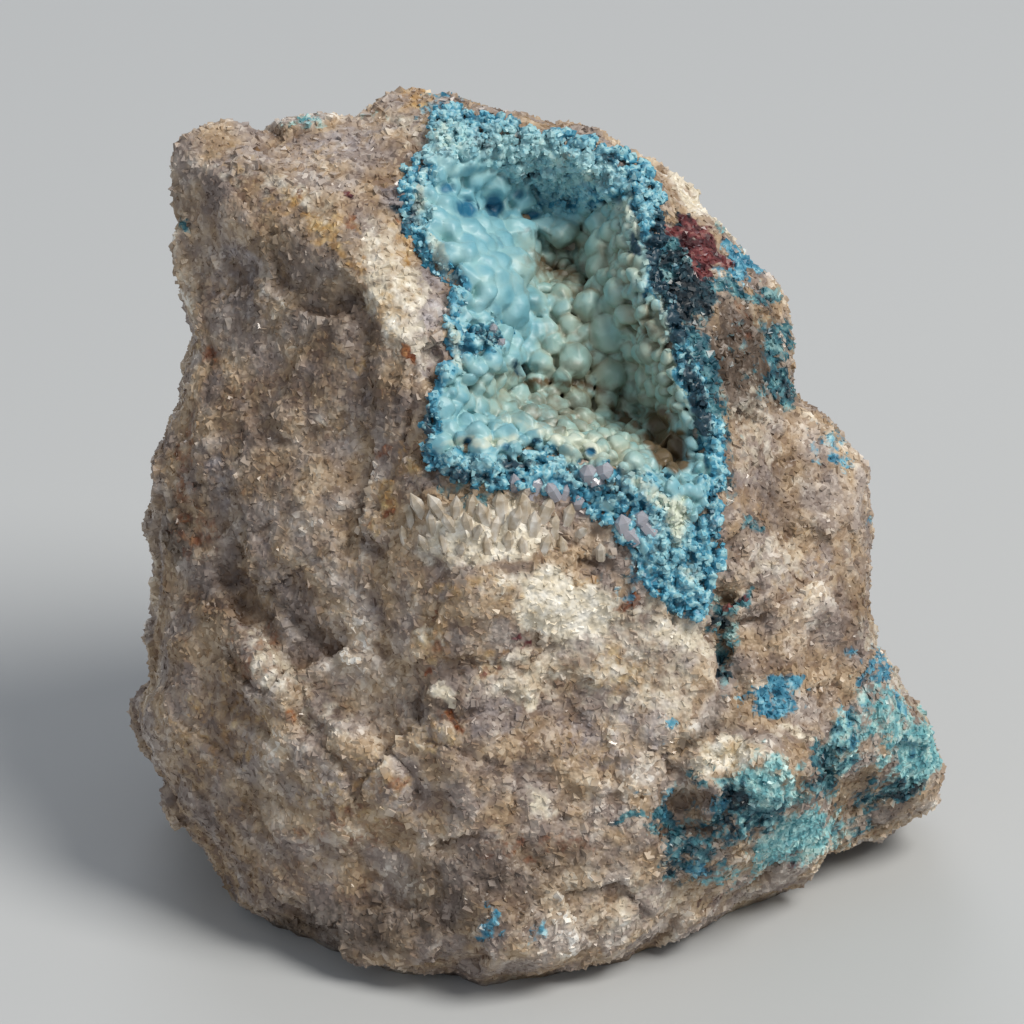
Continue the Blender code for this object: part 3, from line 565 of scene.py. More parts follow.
        (-2.0, -24.0, 10.0, 3.4, 8, 0.65), (-25.0, 25.0, 1.4, 2.6, 0, 0.5), (15.4, 14.4, 2.4, 5.0, 5, 0.75),
        (11.6, 19.0, 1.6, 3.0, 10, 0.8), (14.2, 13.0, 2.4, 4.6, 8, 1.1), (-19.0, 17.0, 5.0, 4.4, 0, 0.55),
        (-21.0, -4.0, 5.0, 6.0, 0, 0.4), (-12.4, 12.0, 4.0, 7.0, 20, 0.45), (26.4, -18.4, 3.0, 2.0, 15, 0.6),
        (12.3, -13.2, 1.8, 0.9, 20, 0.8), (-25.6, 0.6, 1.4, 2.6, 0, 1.0), (15.6, 12.6, 3.2, 4.6, 8, 1.0), (18.6, 3.0, 3.0, 4.6, 0, 0.45),
    ),
}
# The same for the far side, as seen through the stone
FAR_STAINS = {
    "azure": ((6.0, -12.0, 1.6, 1.2, 0, 0.7), (-14.0, 12.0, 1.0, 0.8, 0, 0.7)),
    "teal": ((8.0, -10.0, 4.0, 2.6, 20, 0.55), (-12.0, 13.0, 3.0, 1.8, -20, 0.5), (20.0, -14.0, 4.0, 3.0, 0, 0.5)),
    "turquoise": ((10.0, -12.6, 2.6, 1.6, 0, 0.55), (21.0, -16.0, 3.0, 2.0, 0, 0.6)),
    "iron": ((-4.0, 4.0, 1.4, 1.0, 0, 0.4),),
    "black_teal_and_shade": ((8.4, -10.4, 1.6, 0.8, 20, 0.5), (20.0, -14.6, 1.6, 0.8, 0, 0.6)),
    "rust": ((-8.0, 2.0, 2.4, 1.6, 20, 0.5), (6.0, -18.0, 3.4, 1.6, 0, 0.45), (16.0, 6.0, 1.6, 3.0, 0, 0.5)),
    "ochre": ((-6.0, 5.0, 4.0, 2.4, 20, 0.5), (12.0, 8.0, 3.0, 2.0, 0, 0.4), (-18.0, -10.0, 3.0, 2.0, 0, 0.5)),
    "milk_and_painted_light": ((4.0, -4.0, 6.0, 2.6, -25, 0.6), (-10.0, 18.0, 5.0, 2.6, 10, 0.5), (14.0, 18.0, 3.0, 3.0, 0, 0.5)),
    "lilac": ((-4.0, -14.0, 7.0, 4.0, 0, 0.4), (2.0, 14.0, 5.0, 4.0, 0, 0.4)),
    # the far side's shade patches: darker low down and on the left
    "shade": ((-12.0, -4.0, 8.0, 6.0, 0, 0.4), (12.0, -22.0, 12.0, 4.0, 0, 0.5)),
}
EDGE_BENDS = ((2.4, 1.2), (0.8, 0.6))  # how a patch's edge wanders: size and reach of its bends
COPPER_STAINS = ("azure", "teal", "turquoise", "black_teal_and_shade")
FAR_SIDE = (-6.0, -1.5)  # between these heights toward the eye, the near patches give way to the far ones


def wandered(display):
    flat = display[:, :2].copy()
    for size, reach in EDGE_BENDS:
        flat += reach * np.stack([blobs(display, size, place) for place in (3.1, 41.7)], axis=1)
    return flat


def stain(mesh):
    world = places(mesh)
    display = to_display(world)
    flat = wandered(display)
    near = smoothstep(*FAR_SIDE, display[:, 2])
    copper = np.zeros(len(flat))
    for name in STAINS:
        values = near * patch_values(flat, STAINS[name])
        values += (1.0 - near) * patch_values(flat, FAR_STAINS[name])
        set_values(mesh, name, values)
        if name in COPPER_STAINS:
            copper = np.maximum(copper, values)
    covered = smoothstep(0.2, 1.0, inside_depth(display[:, :2], CRUST_OUTLINE)) * (display[:, 2] > CRUST_FAR)
    standing = smoothstep(0.6, 1.2, world[:, 2])
    set_values(mesh, "open_rock", (1.0 - covered) * standing)
    set_values(mesh, "copper", copper * (1.0 - covered) * standing)


stain(skin)
print("stained with", ", ".join(STAINS))

# %% [markdown]
# Sugary quartz is a mosaic: each grain has a tone of its own, from smoky brown through lilac grey to
# white. Ridges are made paler, iron has settled in the recesses, and a stain colours one grain more than
# the next. So the colour starts from a tone, and each stain is laid on by its strength, less the chance
# that a grain was spared. On the skin tone and chance come from Voronoi cells of grain size, and on the
# loose grains below from numbers that each grain carries.

# %% The rock's colours
ROCK_TONES = {  # the same rock, where iron warmed it and where it didn't
    "warm": (
        (0.00, "#634b3d"), (0.25, "#846c58"), (0.45, "#9f876c"), (0.60, "#b29b80"), (0.75, "#c7b39a"),
        (0.88, "#e1d3bd"), (1.00, "#f9f4ea"),
    ),
    "cool": (
        (0.00, "#5f524c"), (0.25, "#7b6d66"), (0.45, "#92847d"), (0.60, "#a5988f"), (0.75, "#baaea5"),
        (0.88, "#d6cdc4"), (1.00, "#f8f5f0"),
    ),
}
# Stains, with the layers of painted shade and painted light among them, in the order in which they are
# laid on: how much chance spares, how soft the edge is, and the colours of the darkest, the middle and
# the palest grains
STAIN_TONES = {
    "recess": (0.5, 1.0, ((0.0, "#5a4334"), (0.5, "#705845"), (1.0, "#8c7560"))),
    "lilac": (0.6, 0.8, ((0.0, "#6f686c"), (0.5, "#9a949a"), (1.0, "#d6d3d7"))),
    # shade: painted shade, and the right flank's darker rock colour
    "shade": (0.4, 0.8, ((0.0, "#382b22"), (0.5, "#524439"), (1.0, "#7f7064"))),
    # milky quartz, in places painted light on lit edges
    "milk_and_painted_light": (0.6, 0.6, ((0.0, "#c0b299"), (0.5, "#e2d9c6"), (1.0, "#fdfaf2"))),
    "ochre": (0.7, 0.6, ((0.0, "#8a6239"), (0.5, "#b8935e"), (1.0, "#dcc592"))),
    "rust": (0.7, 0.5, ((0.0, "#4c2918"), (0.5, "#80492a"), (1.0, "#b58457"))),
    "turquoise": (0.9, 0.4, ((0.0, "#3b7480"), (0.3, "#5f9fa9"), (0.6, "#8fc2c5"), (1.0, "#d8ebe2"))),
    "teal": (0.9, 0.35, ((0.0, "#0e2a35"), (0.35, "#245363"), (0.65, "#4c818c"), (1.0, "#a4c5c2"))),
    # near-black teal, partly painted shade in cracks and hollows
    "black_teal_and_shade": (0.7, 0.4, ((0.0, "#060d13"), (0.5, "#11242f"), (1.0, "#2f5360"))),
    "azure": (1.1, 0.4, ((0.0, "#17465e"), (0.35, "#347a98"), (0.65, "#63a5bd"), (1.0, "#bddde1"))),
    "iron": (0.9, 0.4, ((0.0, "#1d0b0f"), (0.4, "#461d23"), (0.7, "#74383a"), (1.0, "#a67c74"))),
}
CLOUD_SIZE = 2.6  # of the rock's blotches, in millimetres
FACE_SIZE = 9.0  # of whole paler and darker places
MOTTLE_SIZE = 0.9  # of the gaps in a stain


def toned(tree, height, tones):
    """The colours of a row of tones, by height."""
    ramp = add_node(tree, "ShaderNodeValToRGB", {"Fac": height})
    while len(ramp.color_ramp.elements) < len(tones):
        ramp.color_ramp.elements.new(1.0)
    for element, (position, hex_colour) in zip(ramp.color_ramp.elements, tones):
        element.position, element.color = position, linear(hex_colour)
    return ramp.outputs["Color"]


def coated(tree, under, over, zone, chance, least, spared, edge):
    """Lays one colour over another by the strength of a zone, less where chance spares it."""
    strength = add_node(tree, "ShaderNodeAttribute", attribute_name=zone)
    lead = add_node(
        tree, "ShaderNodeMath", {0: chance, 1: -spared, 2: strength.outputs["Fac"]}, operation="MULTIPLY_ADD"
    )
    share = add_node(
        tree, "ShaderNodeMapRange", {"Value": lead.outputs[0], "From Min": least, "From Max": least + edge}
    )
    mixed = add_node(tree, "ShaderNodeMix", {0: share.outputs["Result"], 6: under, 7: over}, data_type="RGBA")
    return mixed.outputs[2]


def rock_colour(tree, tone, chance):
    """The rock's tone with all its stains. Grains differ by tone and chance, places by noise."""
    place = add_node(tree, "ShaderNodeTexCoord").outputs["Object"]
    cloud = add_node(tree, "ShaderNodeTexNoise", {"Vector": place, "Scale": 1 / (CLOUD_SIZE * MM), "Detail": 4.0})
    wide = add_node(tree, "ShaderNodeMapRange", {"Value": cloud.outputs["Fac"], "From Min": 0.30, "From Max": 0.70})
    face = add_node(tree, "ShaderNodeTexNoise", {"Vector": place, "Scale": 1 / (FACE_SIZE * MM), "Detail": 1.0})
    broad = add_node(tree, "ShaderNodeMapRange", {"Value": face.outputs["Fac"], "From Min": 0.35, "From Max": 0.65})
    blotch = add_node(
        tree, "ShaderNodeMix", {0: 0.35, 2: wide.outputs["Result"], 3: broad.outputs["Result"]}, data_type="FLOAT"
    )
    cloudy = add_node(
        tree, "ShaderNodeMix", {0: 0.65, 2: tone, 3: blotch.outputs[0]}, data_type="FLOAT"
    ).outputs[0]
    ridge = add_node(tree, "ShaderNodeAttribute", attribute_name="ridge")
    ridge_paled = add_node(
        tree, "ShaderNodeMath", {0: ridge.outputs["Fac"], 1: 0.14, 2: cloudy}, operation="MULTIPLY_ADD"
    ).outputs[0]
    mottle = add_node(tree, "ShaderNodeTexNoise", {"Vector": place, "Scale": 1 / (MOTTLE_SIZE * MM), "Detail": 4.0})
    channels = add_node(tree, "ShaderNodeSeparateColor", {"Color": mottle.outputs["Color"]}).outputs
    hue = add_node(tree, "ShaderNodeSeparateColor", {"Color": cloud.outputs["Color"]}).outputs["Green"]
    warmth = add_node(tree, "ShaderNodeMapRange", {"Value": hue, "From Min": 0.40, "From Max": 0.60})
    colour = add_node(
        tree, "ShaderNodeMix",
        {0: warmth.outputs["Result"], 6: toned(tree, ridge_paled, ROCK_TONES["cool"]),
         7: toned(tree, ridge_paled, ROCK_TONES["warm"])}, data_type="RGBA",
    ).outputs[2]
    gaps = [
        add_node(tree, "ShaderNodeMapRange", {"Value": channel, "From Min": 0.35, "From Max": 0.65}).outputs[0]
        for channel in channels
    ]
    for step, (name, (spared, edge, tones)) in enumerate(STAIN_TONES.items()):
        own = add_node(tree, "ShaderNodeMix", {0: 0.25, 2: gaps[step % 3], 3: chance}, data_type="FLOAT")
        shift = add_node(tree, "ShaderNodeMix", {0: 0.6, 2: ridge_paled, 3: gaps[(step + 1) % 3]}, data_type="FLOAT")
        over = toned(tree, shift.outputs[0], tones)
        colour = coated(tree, colour, over, name, own.outputs[0], 0.02, spared, edge)
    return colour


print(len(STAIN_TONES), "stains over", len(ROCK_TONES), "rows of tones")

# %% The skin's material: broken quartzite
GRAIN_SIZE = 0.52  # of the mosaic, in millimetres
SUGAR_SIZE = 0.32  # of the finest grains, which only bump shows


def skin_material():
    """Sugary quartz rock, freshly broken: dull between its grains, with a mosaic of tones."""
    material, tree = new_material("broken_sugary_quartz")
    place = add_node(tree, "ShaderNodeTexCoord").outputs["Object"]
    cells = add_node(
        tree, "ShaderNodeTexVoronoi", {"Vector": place, "Scale": 1 / (GRAIN_SIZE * MM)}, feature="F1"
    )
    cell = add_node(tree, "ShaderNodeSeparateColor", {"Color": cells.outputs["Color"]})
    colour = rock_colour(tree, cell.outputs["Red"], cell.outputs["Green"])
    sugar = add_node(
        tree, "ShaderNodeTexVoronoi",
        {"Vector": place, "Scale": 1 / (SUGAR_SIZE * MM), "Smoothness": 0.5}, feature="SMOOTH_F1",
    )
    bump = add_node(
        tree, "ShaderNodeBump", {"Height": sugar.outputs["Distance"], "Distance": -0.14 * MM, "Strength": 0.8}
    )
    rough = add_node(tree, "ShaderNodeMapRange", {"Value": cell.outputs["Blue"], "To Min": 0.4, "To Max": 0.75})
    shader = add_node(
        tree, "ShaderNodeBsdfPrincipled",
        {"Base Color": colour, "Roughness": rough.outputs["Result"], "Normal": bump.outputs["Normal"]},
    )
    add_node(tree, "ShaderNodeOutputMaterial", {"Surface": shader.outputs["BSDF"]})
    return material


skin.materials.clear()
skin.materials.append(skin_material())
skin.shade_smooth()
stone = object_of("stone_surface", skin)
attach(stone, "root")
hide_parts("quartz_stone")
print("the skin is dressed")

# %% [markdown]
# The grains that catch the light stand proud of the skin. Each is a small block, bent out of square and
# sunk into the rock, because quartz breaks into blocks whose flat sides glint. Geometry Nodes scatter them: points that keep a
# distance from each other, a shape picked at random for each, and its size, turn, tone and chance drawn
# from fixed seeds. The stains of the skin travel along with the points.

# %% Trees that grow pieces
def new_tree(name, inputs, output):
    """An empty tree with named inputs: the tree, the inputs' identifiers, and its input sockets."""
    tree = bpy.data.node_groups.new(name, "GeometryNodeTree")
    identifiers = {}
    for label, kind in inputs:
        socket = tree.interface.new_socket(label, in_out="INPUT", socket_type="NodeSocket" + kind)
        identifiers[label] = socket.identifier
    tree.interface.new_socket(output, in_out="OUTPUT", socket_type="NodeSocketGeometry")
    return tree, identifiers, add_node(tree, "NodeGroupInput").outputs


def finish_tree(tree, geometry, material):
    """Makes instances real, paints them, and hands them out."""
    real = add_node(tree, "GeometryNodeRealizeInstances", {"Geometry": geometry})
    painted = add_node(
        tree, "GeometryNodeSetMaterial", {"Geometry": real.outputs["Geometry"], "Material": material}
    )
    add_node(tree, "NodeGroupOutput", {0: painted.outputs["Geometry"]})


def grown_mesh(name, carrier, tree, identifiers, **values):
    """Runs a tree on a mesh, and returns what it made as a plain mesh."""
    helper = object_of("helper", carrier)
    modifier = helper.modifiers.new(name, "NODES")
    modifier.node_group = tree
    for label, value in values.items():
        modifier[identifiers[label]] = value
    mesh = plain_mesh(helper, name)
    bpy.data.objects.remove(helper)
    return mesh


print("trees end in real, painted meshes")

# %% Scatter grains
SCATTER_INPUTS = (
    ("Mesh", "Geometry"), ("Spacing", "Float"), ("Smallest", "Float"), ("Largest", "Float"),
    ("Sink", "Float"), ("Bend", "Float"), ("Stretch", "Float"), ("Seed", "Int"), ("Material", "Material"),
)
SHAPES = 5  # differently bent lumps to pick from
LUMP_SIDE = 1.4  # of a grain's block, for a size of 1


def scatter_tree(name, zone):
    """Scatters lumps on a mesh, as densely as a zone of it is strong."""
    tree, identifiers, given = new_tree(name, SCATTER_INPUTS, "Grains")
    where = add_node(tree, "GeometryNodeInputNamedAttribute", {"Name": zone}, data_type="FLOAT")
    crowd = add_node(tree, "ShaderNodeMath", {0: given["Spacing"], 1: -2.0}, operation="POWER")
    crowd = add_node(tree, "ShaderNodeMath", {0: crowd.outputs[0], 1: 4.0}, operation="MULTIPLY")
    points = add_node(
        tree, "GeometryNodeDistributePointsOnFaces",
        {"Mesh": given["Mesh"], "Distance Min": given["Spacing"], "Density Max": crowd.outputs[0],
         "Density Factor": where.outputs["Attribute"], "Seed": given["Seed"]},
        distribute_method="POISSON",
    )
    size = add_node(
        tree, "FunctionNodeRandomValue", {2: given["Smallest"], 3: given["Largest"], "Seed": given["Seed"]},
        data_type="FLOAT",
    )
    depth = add_node(
        tree, "ShaderNodeMath", {0: size.outputs[1], 1: given["Sink"], 2: 0.0}, operation="MULTIPLY_ADD"
    )
    inward = add_node(
        tree, "ShaderNodeVectorMath", {0: points.outputs["Normal"], "Scale": depth.outputs[0]}, operation="SCALE"
    )
    downward = add_node(tree, "ShaderNodeVectorMath", {0: inward.outputs[0], "Scale": -1.0}, operation="SCALE")
    sunk = add_node(
        tree, "GeometryNodeSetPosition", {"Geometry": points.outputs["Points"], "Offset": downward.outputs[0]}
    )

    picked = add_node(tree, "GeometryNodeGeometryToInstance")
    back = add_node(tree, "ShaderNodeMath", {0: given["Bend"], 1: -1.0}, operation="MULTIPLY")
    for index in range(SHAPES):
        lump = add_node(tree, "GeometryNodeMeshCube", {"Size": (LUMP_SIDE,) * 3})
        bend = add_node(
            tree, "FunctionNodeRandomValue", {0: back.outputs[0], 1: given["Bend"], "Seed": 100 + index},
            data_type="FLOAT_VECTOR",
        )
        bent = add_node(
            tree, "GeometryNodeSetPosition", {"Geometry": lump.outputs["Mesh"], "Offset": bend.outputs[0]}
        )
        tree.links.new(bent.outputs["Geometry"], picked.inputs["Geometry"])
    pick = add_node(tree, "FunctionNodeRandomValue", {4: 0, 5: SHAPES - 1, "Seed": 7}, data_type="INT")
    turn = add_node(
        tree, "FunctionNodeRandomValue", {0: (0, 0, 0), 1: (2 * math.pi,) * 3, "Seed": 8},
        data_type="FLOAT_VECTOR",
    )
    squeeze = add_node(tree, "ShaderNodeMath", {0: 1.0, 1: given["Stretch"]}, operation="DIVIDE")
    stretch = add_node(
        tree, "FunctionNodeRandomValue", {0: squeeze.outputs[0], 1: given["Stretch"], "Seed": 9},
        data_type="FLOAT_VECTOR",
    )
    scale = add_node(
        tree, "ShaderNodeVectorMath", {0: stretch.outputs[0], "Scale": size.outputs[1]}, operation="SCALE"
    )
    grains = add_node(
        tree, "GeometryNodeInstanceOnPoints",
        {"Points": sunk.outputs["Geometry"], "Instance": picked.outputs["Instances"], "Pick Instance": True,
         "Instance Index": pick.outputs[2], "Rotation": turn.outputs[0], "Scale": scale.outputs[0]},
    )
    geometry = grains.outputs["Instances"]
    for index, label in enumerate(("tone", "chance")):
        draw = add_node(tree, "FunctionNodeRandomValue", {"Seed": 20 + index}, data_type="FLOAT")
        kept = add_node(
            tree, "GeometryNodeStoreNamedAttribute",
            {"Geometry": geometry, "Name": label, "Value": draw.outputs[1]}, data_type="FLOAT",
            domain="INSTANCE",
        )
        geometry = kept.outputs["Geometry"]
    finish_tree(tree, geometry, given["Material"])
    return tree, identifiers


print(SHAPES, "shapes of grain to pick from")

# %% The grains
GRAINS = (  # piece, zone, roughness, how much paler than the skin, and its scatter's sizes in millimetres
    ("smoky_grains", "open_rock", 0.45, 0.0,
     {"Spacing": 0.57, "Smallest": 0.20, "Largest": 0.42, "Sink": 0.64, "Seed": 3}),
    # the sugar grains are paler: the white of quartz, and partly a painted glint that stands in for sparkle
    ("sugar_grains", "open_rock", 0.32, 0.25,
     {"Spacing": 0.57, "Smallest": 0.12, "Largest": 0.26, "Sink": 0.40, "Seed": 14}),
    ("glassy_grains", "lilac", 0.12, 0.20,
     {"Spacing": 0.70, "Smallest": 0.18, "Largest": 0.38, "Sink": 0.50, "Seed": 47}),
    ("copper_druse", "copper", 0.30, 0.10,
     {"Spacing": 0.40, "Smallest": 0.12, "Largest": 0.30, "Sink": 0.20, "Seed": 25}),
)
GRAIN_BEND = 0.28
GRAIN_STRETCH = 1.30
GROUND_GAP = 0.05  # a grain stays this far above the ground


def grain_material(name, roughness, paler):
    """Single quartz grains: small and glossy, each with its own tone."""
    material, tree = new_material(name)
    drawn = add_node(tree, "ShaderNodeAttribute", attribute_name="tone")
    tone = add_node(tree, "ShaderNodeMapRange", {"Value": drawn.outputs["Fac"], "To Min": paler})
    chance = add_node(tree, "ShaderNodeAttribute", attribute_name="chance")
    shader = add_node(
        tree, "ShaderNodeBsdfPrincipled",
        {"Base Color": rock_colour(tree, tone.outputs["Result"], chance.outputs["Fac"]),
         "Roughness": roughness, "IOR": 1.544},
    )
    add_node(tree, "ShaderNodeOutputMaterial", {"Surface": shader.outputs["BSDF"]})
    return material


def add_grains(name, mesh, zone, material, sizes):
    tree, identifiers = scatter_tree(name, zone)
    lengths = {label: sizes[label] * MM for label in ("Spacing", "Smallest", "Largest")}
    mesh = grown_mesh(
        name, mesh, tree, identifiers, **lengths, Sink=sizes["Sink"], Bend=GRAIN_BEND, Stretch=GRAIN_STRETCH,
        Seed=sizes["Seed"], Material=material,
    )
    world = places(mesh)
    world[:, 2] = np.maximum(world[:, 2], GROUND_GAP)
    set_places(mesh, world)
    mesh.shade_flat()
    piece = object_of(name, mesh)
    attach(piece, "root")
    print(name, "has", triangle_count(mesh), "triangles")


for name, zone, roughness, paler, sizes in GRAINS:
    add_grains(name, skin, zone, grain_material(name, roughness, paler), sizes)

# %% [markdown]
# The crust grew as round lobes, each from a point on the pocket's wall. The larger ones are laid out as
# they lie on the specimen: across, up and radius. Each is set on the stone where the eye's line meets
# it, and moved out square to the wall. Smaller lobes then fill what is left: places are drawn at random,
# and kept where they are far enough from every lobe already there. Toward the broken rim they shrink.

# %% Lay out the lobes
LOBES = (
    (1.9, 28.9, 0.60), (0.0, 29.2, 0.55), (3.6, 28.5, 0.60), (6.2, 27.6, 0.60), (-4.4, 28.1, 0.80),
    (4.2, 27.4, 0.70), (-1.1, 27.5, 0.80), (1.4, 27.3, 0.75), (8.2, 26.1, 0.55),
    (-4.3, 26.6, 0.94), (-3.0, 26.2, 1.16), (4.3, 26.0, 0.80), (-1.5, 25.7, 0.87), (4.7, 24.8, 0.94),
    (-0.7, 24.4, 0.94), (-7.6, 24.3, 0.80), (-2.7, 24.0, 0.94), (-4.5, 23.8, 1.01), (3.4, 23.5, 0.87),
    (0.7, 23.2, 0.95), (-6.4, 23.1, 1.23), (2.2, 22.4, 1.16), (5.9, 22.8, 1.20), (-6.0, 21.6, 0.94),
    (-2.0, 21.5, 1.74), (6.0, 21.2, 1.35), (9.1, 21.0, 0.60), (-5.9, 20.1, 0.80), (6.0, 19.7, 1.25),
    (8.3, 19.4, 0.80), (-2.0, 19.1, 1.59), (-4.6, 18.6, 0.87), (7.1, 17.9, 1.09), (5.7, 17.4, 1.45),
    (9.2, 17.6, 0.60), (-4.9, 17.0, 0.80), (4.3, 16.6, 1.23), (0.1, 16.8, 1.16), (-2.3, 16.7, 1.52),
    (9.8, 15.6, 0.70), (1.2, 15.2, 0.80), (-3.8, 15.2, 0.80), (5.7, 15.0, 1.59), (0.4, 14.9, 0.94),
    (-2.4, 14.3, 0.87), (10.5, 13.9, 0.70), (7.9, 13.8, 0.87), (-4.3, 13.6, 0.87), (-2.2, 12.8, 0.87),
    (7.9, 12.4, 0.87), (3.0, 12.6, 1.30), (0.6, 12.7, 0.95), (5.4, 11.9, 1.23), (11.2, 11.7, 0.70),
    (-6.0, 11.7, 0.80), (0.4, 11.2, 0.80), (7.8, 11.0, 1.01), (9.3, 10.6, 0.94), (5.1, 10.0, 0.87),
    (11.7, 10.1, 0.70), (-3.0, 10.1, 1.16), (3.2, 9.9, 1.06), (-1.2, 9.9, 1.01), (6.5, 9.4, 0.95),
    (0.1, 9.4, 0.80), (-4.7, 9.4, 1.16), (-6.5, 9.1, 0.80), (1.8, 8.9, 1.00), (12.3, 8.3, 0.70),
    (1.1, 8.0, 0.90), (3.6, 8.0, 0.90), (2.4, 7.2, 0.85), (-3.8, 6.9, 1.00), (-1.8, 6.9, 0.95),
    (-6.2, 6.7, 0.85), (4.3, 6.5, 0.80), (12.8, 6.5, 0.70), (6.0, 6.0, 0.85), (2.7, 5.7, 0.80),
    (-5.1, 5.6, 0.80), (-3.3, 5.2, 0.80), (7.2, 5.1, 0.85), (13.0, 4.8, 0.60), (8.2, 3.8, 0.70),
    (9.7, 3.5, 0.70),
)
# Where the crust is azure, small and broken: across, up, half sizes, turn, strength
RIM_PATCHES = (
    (1.0, 28.2, 8.0, 2.4, -12, 0.95), (-5.6, 29.4, 2.6, 2.2, 0, 1.0), (-8.4, 25.6, 1.3, 2.6, -20, 1.0),
    (3.0, 25.6, 4.6, 1.6, -14, 0.7), (8.2, 24.2, 1.6, 3.2, 10, 0.9), (9.3, 19.6, 0.9, 3.6, 0, 1.0),
    (11.2, 13.0, 1.2, 7.6, 14, 1.0), (13.0, 5.6, 1.1, 6.0, 0, 1.0), (-2.9, 14.5, 1.3, 1.4, 0, 1.0),
    (-5.0, 15.6, 1.0, 2.8, 15, 0.9), (-6.4, 18.6, 0.9, 2.4, 35, 0.8), (-6.9, 9.6, 0.6, 3.4, 0, 0.9),
    (-3.0, 4.9, 4.6, 0.9, -4, 1.0), (3.4, 4.4, 4.2, 1.4, -24, 1.0), (8.4, 1.8, 3.2, 2.6, -40, 1.0),
    (10.8, -1.6, 3.0, 3.8, 0, 1.0), (-8.4, 22.0, 0.9, 2.4, -30, 0.8),
)
CRUST_GAP = 0.5  # between the solid stone and the solid crust
CRUST_LEAST = 0.65  # the solid crust's least thickness
BED_HEIGHTS = (-0.3, 0.2)  # of the bed's underside and top over the stone
BED_EDGE = 0.8  # how far inside the crust's outline the bed reaches its full height
LOBE_RISE = 0.45  # how far a large lobe's middle stands off the bed, in radii
FILL_RISES = (0.15, 0.75)
INNER_RADII = (0.45, 0.90)
RIM_RADII = (0.18, 0.42)
SWELL_RADII = (0.90, 1.50)
SWELL_PATCHES = (  # the left wall, where lobes merged to broad swells
    (-2.6, 19.0, 2.6, 6.6, 8, 1.0), (-5.2, 22.2, 2.2, 2.6, 0, 0.8), (-4.6, 26.0, 2.4, 2.4, -20, 0.6),
    (0.4, 14.0, 2.6, 1.6, 0, 0.4),
)
FILL_SPACING = 0.74  # in sums of radii
SWELL_SPACING = 0.55
FILL_TRIES = 30000
FILL_MARGIN = 0.1  # how far inside the crust's outline a small lobe's middle stays
EYE_LINE = Vector((0, 0, -1))
EYE_FAR = 60.0


def display_tree(mesh):
    corners = [Vector(point) for point in to_display(places(mesh))]
    return BVHTree.FromPolygons(corners, [tuple(face.vertices) for face in mesh.polygons])


def wall_places(mesh, draw):
    """Places drawn evenly over the part of the stone that the crust covers, with their normals."""
    corners = to_display(places(mesh))[np.array([tuple(face.vertices) for face in mesh.polygons])]
    first, second, third = corners[:, 0], corners[:, 1], corners[:, 2]
    square = np.cross(second - first, third - first)
    area = np.linalg.norm(square, axis=1)
    square /= area[:, None]
    wall = (inside_depth(corners.mean(axis=1)[:, :2], CRUST_OUTLINE) > -2.0) & (square[:, 2] > 0.0)
    wall &= corners[:, :, 2].mean(axis=1) > CRUST_FAR
    picks = draw.choice(len(area), FILL_TRIES, p=area * wall / (area * wall).sum())
    along, across = draw.random(FILL_TRIES), draw.random(FILL_TRIES)
    folded = along + across > 1.0
    along[folded], across[folded] = 1.0 - along[folded], 1.0 - across[folded]
    spots = first[picks] + along[:, None] * (second - first)[picks] + across[:, None] * (third - first)[picks]
    return spots, square[picks]


def lay_out_lobes(mesh):
    """Middles, growth directions and radii of all lobes, as three arrays."""
    draw = np.random.default_rng(5)
    tree = display_tree(mesh)
    middles, ways, radii = [], [], []
    for across, up, radius in LOBES:
        place, normal, _, _ = tree.ray_cast(Vector((across, up, EYE_FAR)), EYE_LINE)
        middles.append(np.array(place + normal * (BED_HEIGHTS[1] + LOBE_RISE * radius)))
        ways.append(np.array(normal))
        radii.append(radius)
    spots, square = wall_places(mesh, draw)
    depths = inside_depth(spots[:, :2], CRUST_OUTLINE)
    rims = np.maximum(patch_values(spots[:, :2], RIM_PATCHES), 1.0 - smoothstep(0.5, 1.6, depths))
    inner, outer = draw.uniform(*INNER_RADII, FILL_TRIES), draw.uniform(*RIM_RADII, FILL_TRIES)
    swells = patch_values(spots[:, :2], SWELL_PATCHES) * (1.0 - rims)
    sizes = inner + (outer - inner) * rims + (draw.uniform(*SWELL_RADII, FILL_TRIES) - inner) * swells
    rises = (draw.uniform(*FILL_RISES, FILL_TRIES) + 0.6 * rims * draw.random(FILL_TRIES)) * (1.0 - 0.6 * swells)
    spacing = FILL_SPACING + (SWELL_SPACING - FILL_SPACING) * swells
    spots += square * (BED_HEIGHTS[1] + rises * sizes)[:, None]
    for index in np.flatnonzero(depths > FILL_MARGIN):
        gaps = np.linalg.norm(np.array(middles) - spots[index], axis=1)
        if (gaps > spacing[index] * (np.array(radii) + sizes[index])).all():
            middles.append(spots[index])
            ways.append(square[index])
            radii.append(sizes[index])
    return np.array(middles), np.array(ways), np.array(radii)


lobe_middles, lobe_ways, lobe_radii = lay_out_lobes(sink(merged_copy("quartz_stone", "bed")))
print(len(LOBES), "large lobes and", len(lobe_radii) - len(LOBES), "small ones")

# %% [markdown]
# One skin runs over all lobes. A thousand overlapping balls would show seams and hide most of their
# faces, so Geometry Nodes first set a ball on every lobe's middle, next to the bed that carries them,
# and a voxel remesh then fuses all of it into one closed form with a crease wherever two lobes meet.

# %% Fuse the lobes into one lining
LINING_VOXEL = 0.105
LINING_SMOOTHING = 3
LINING_TRIANGLES = 192000


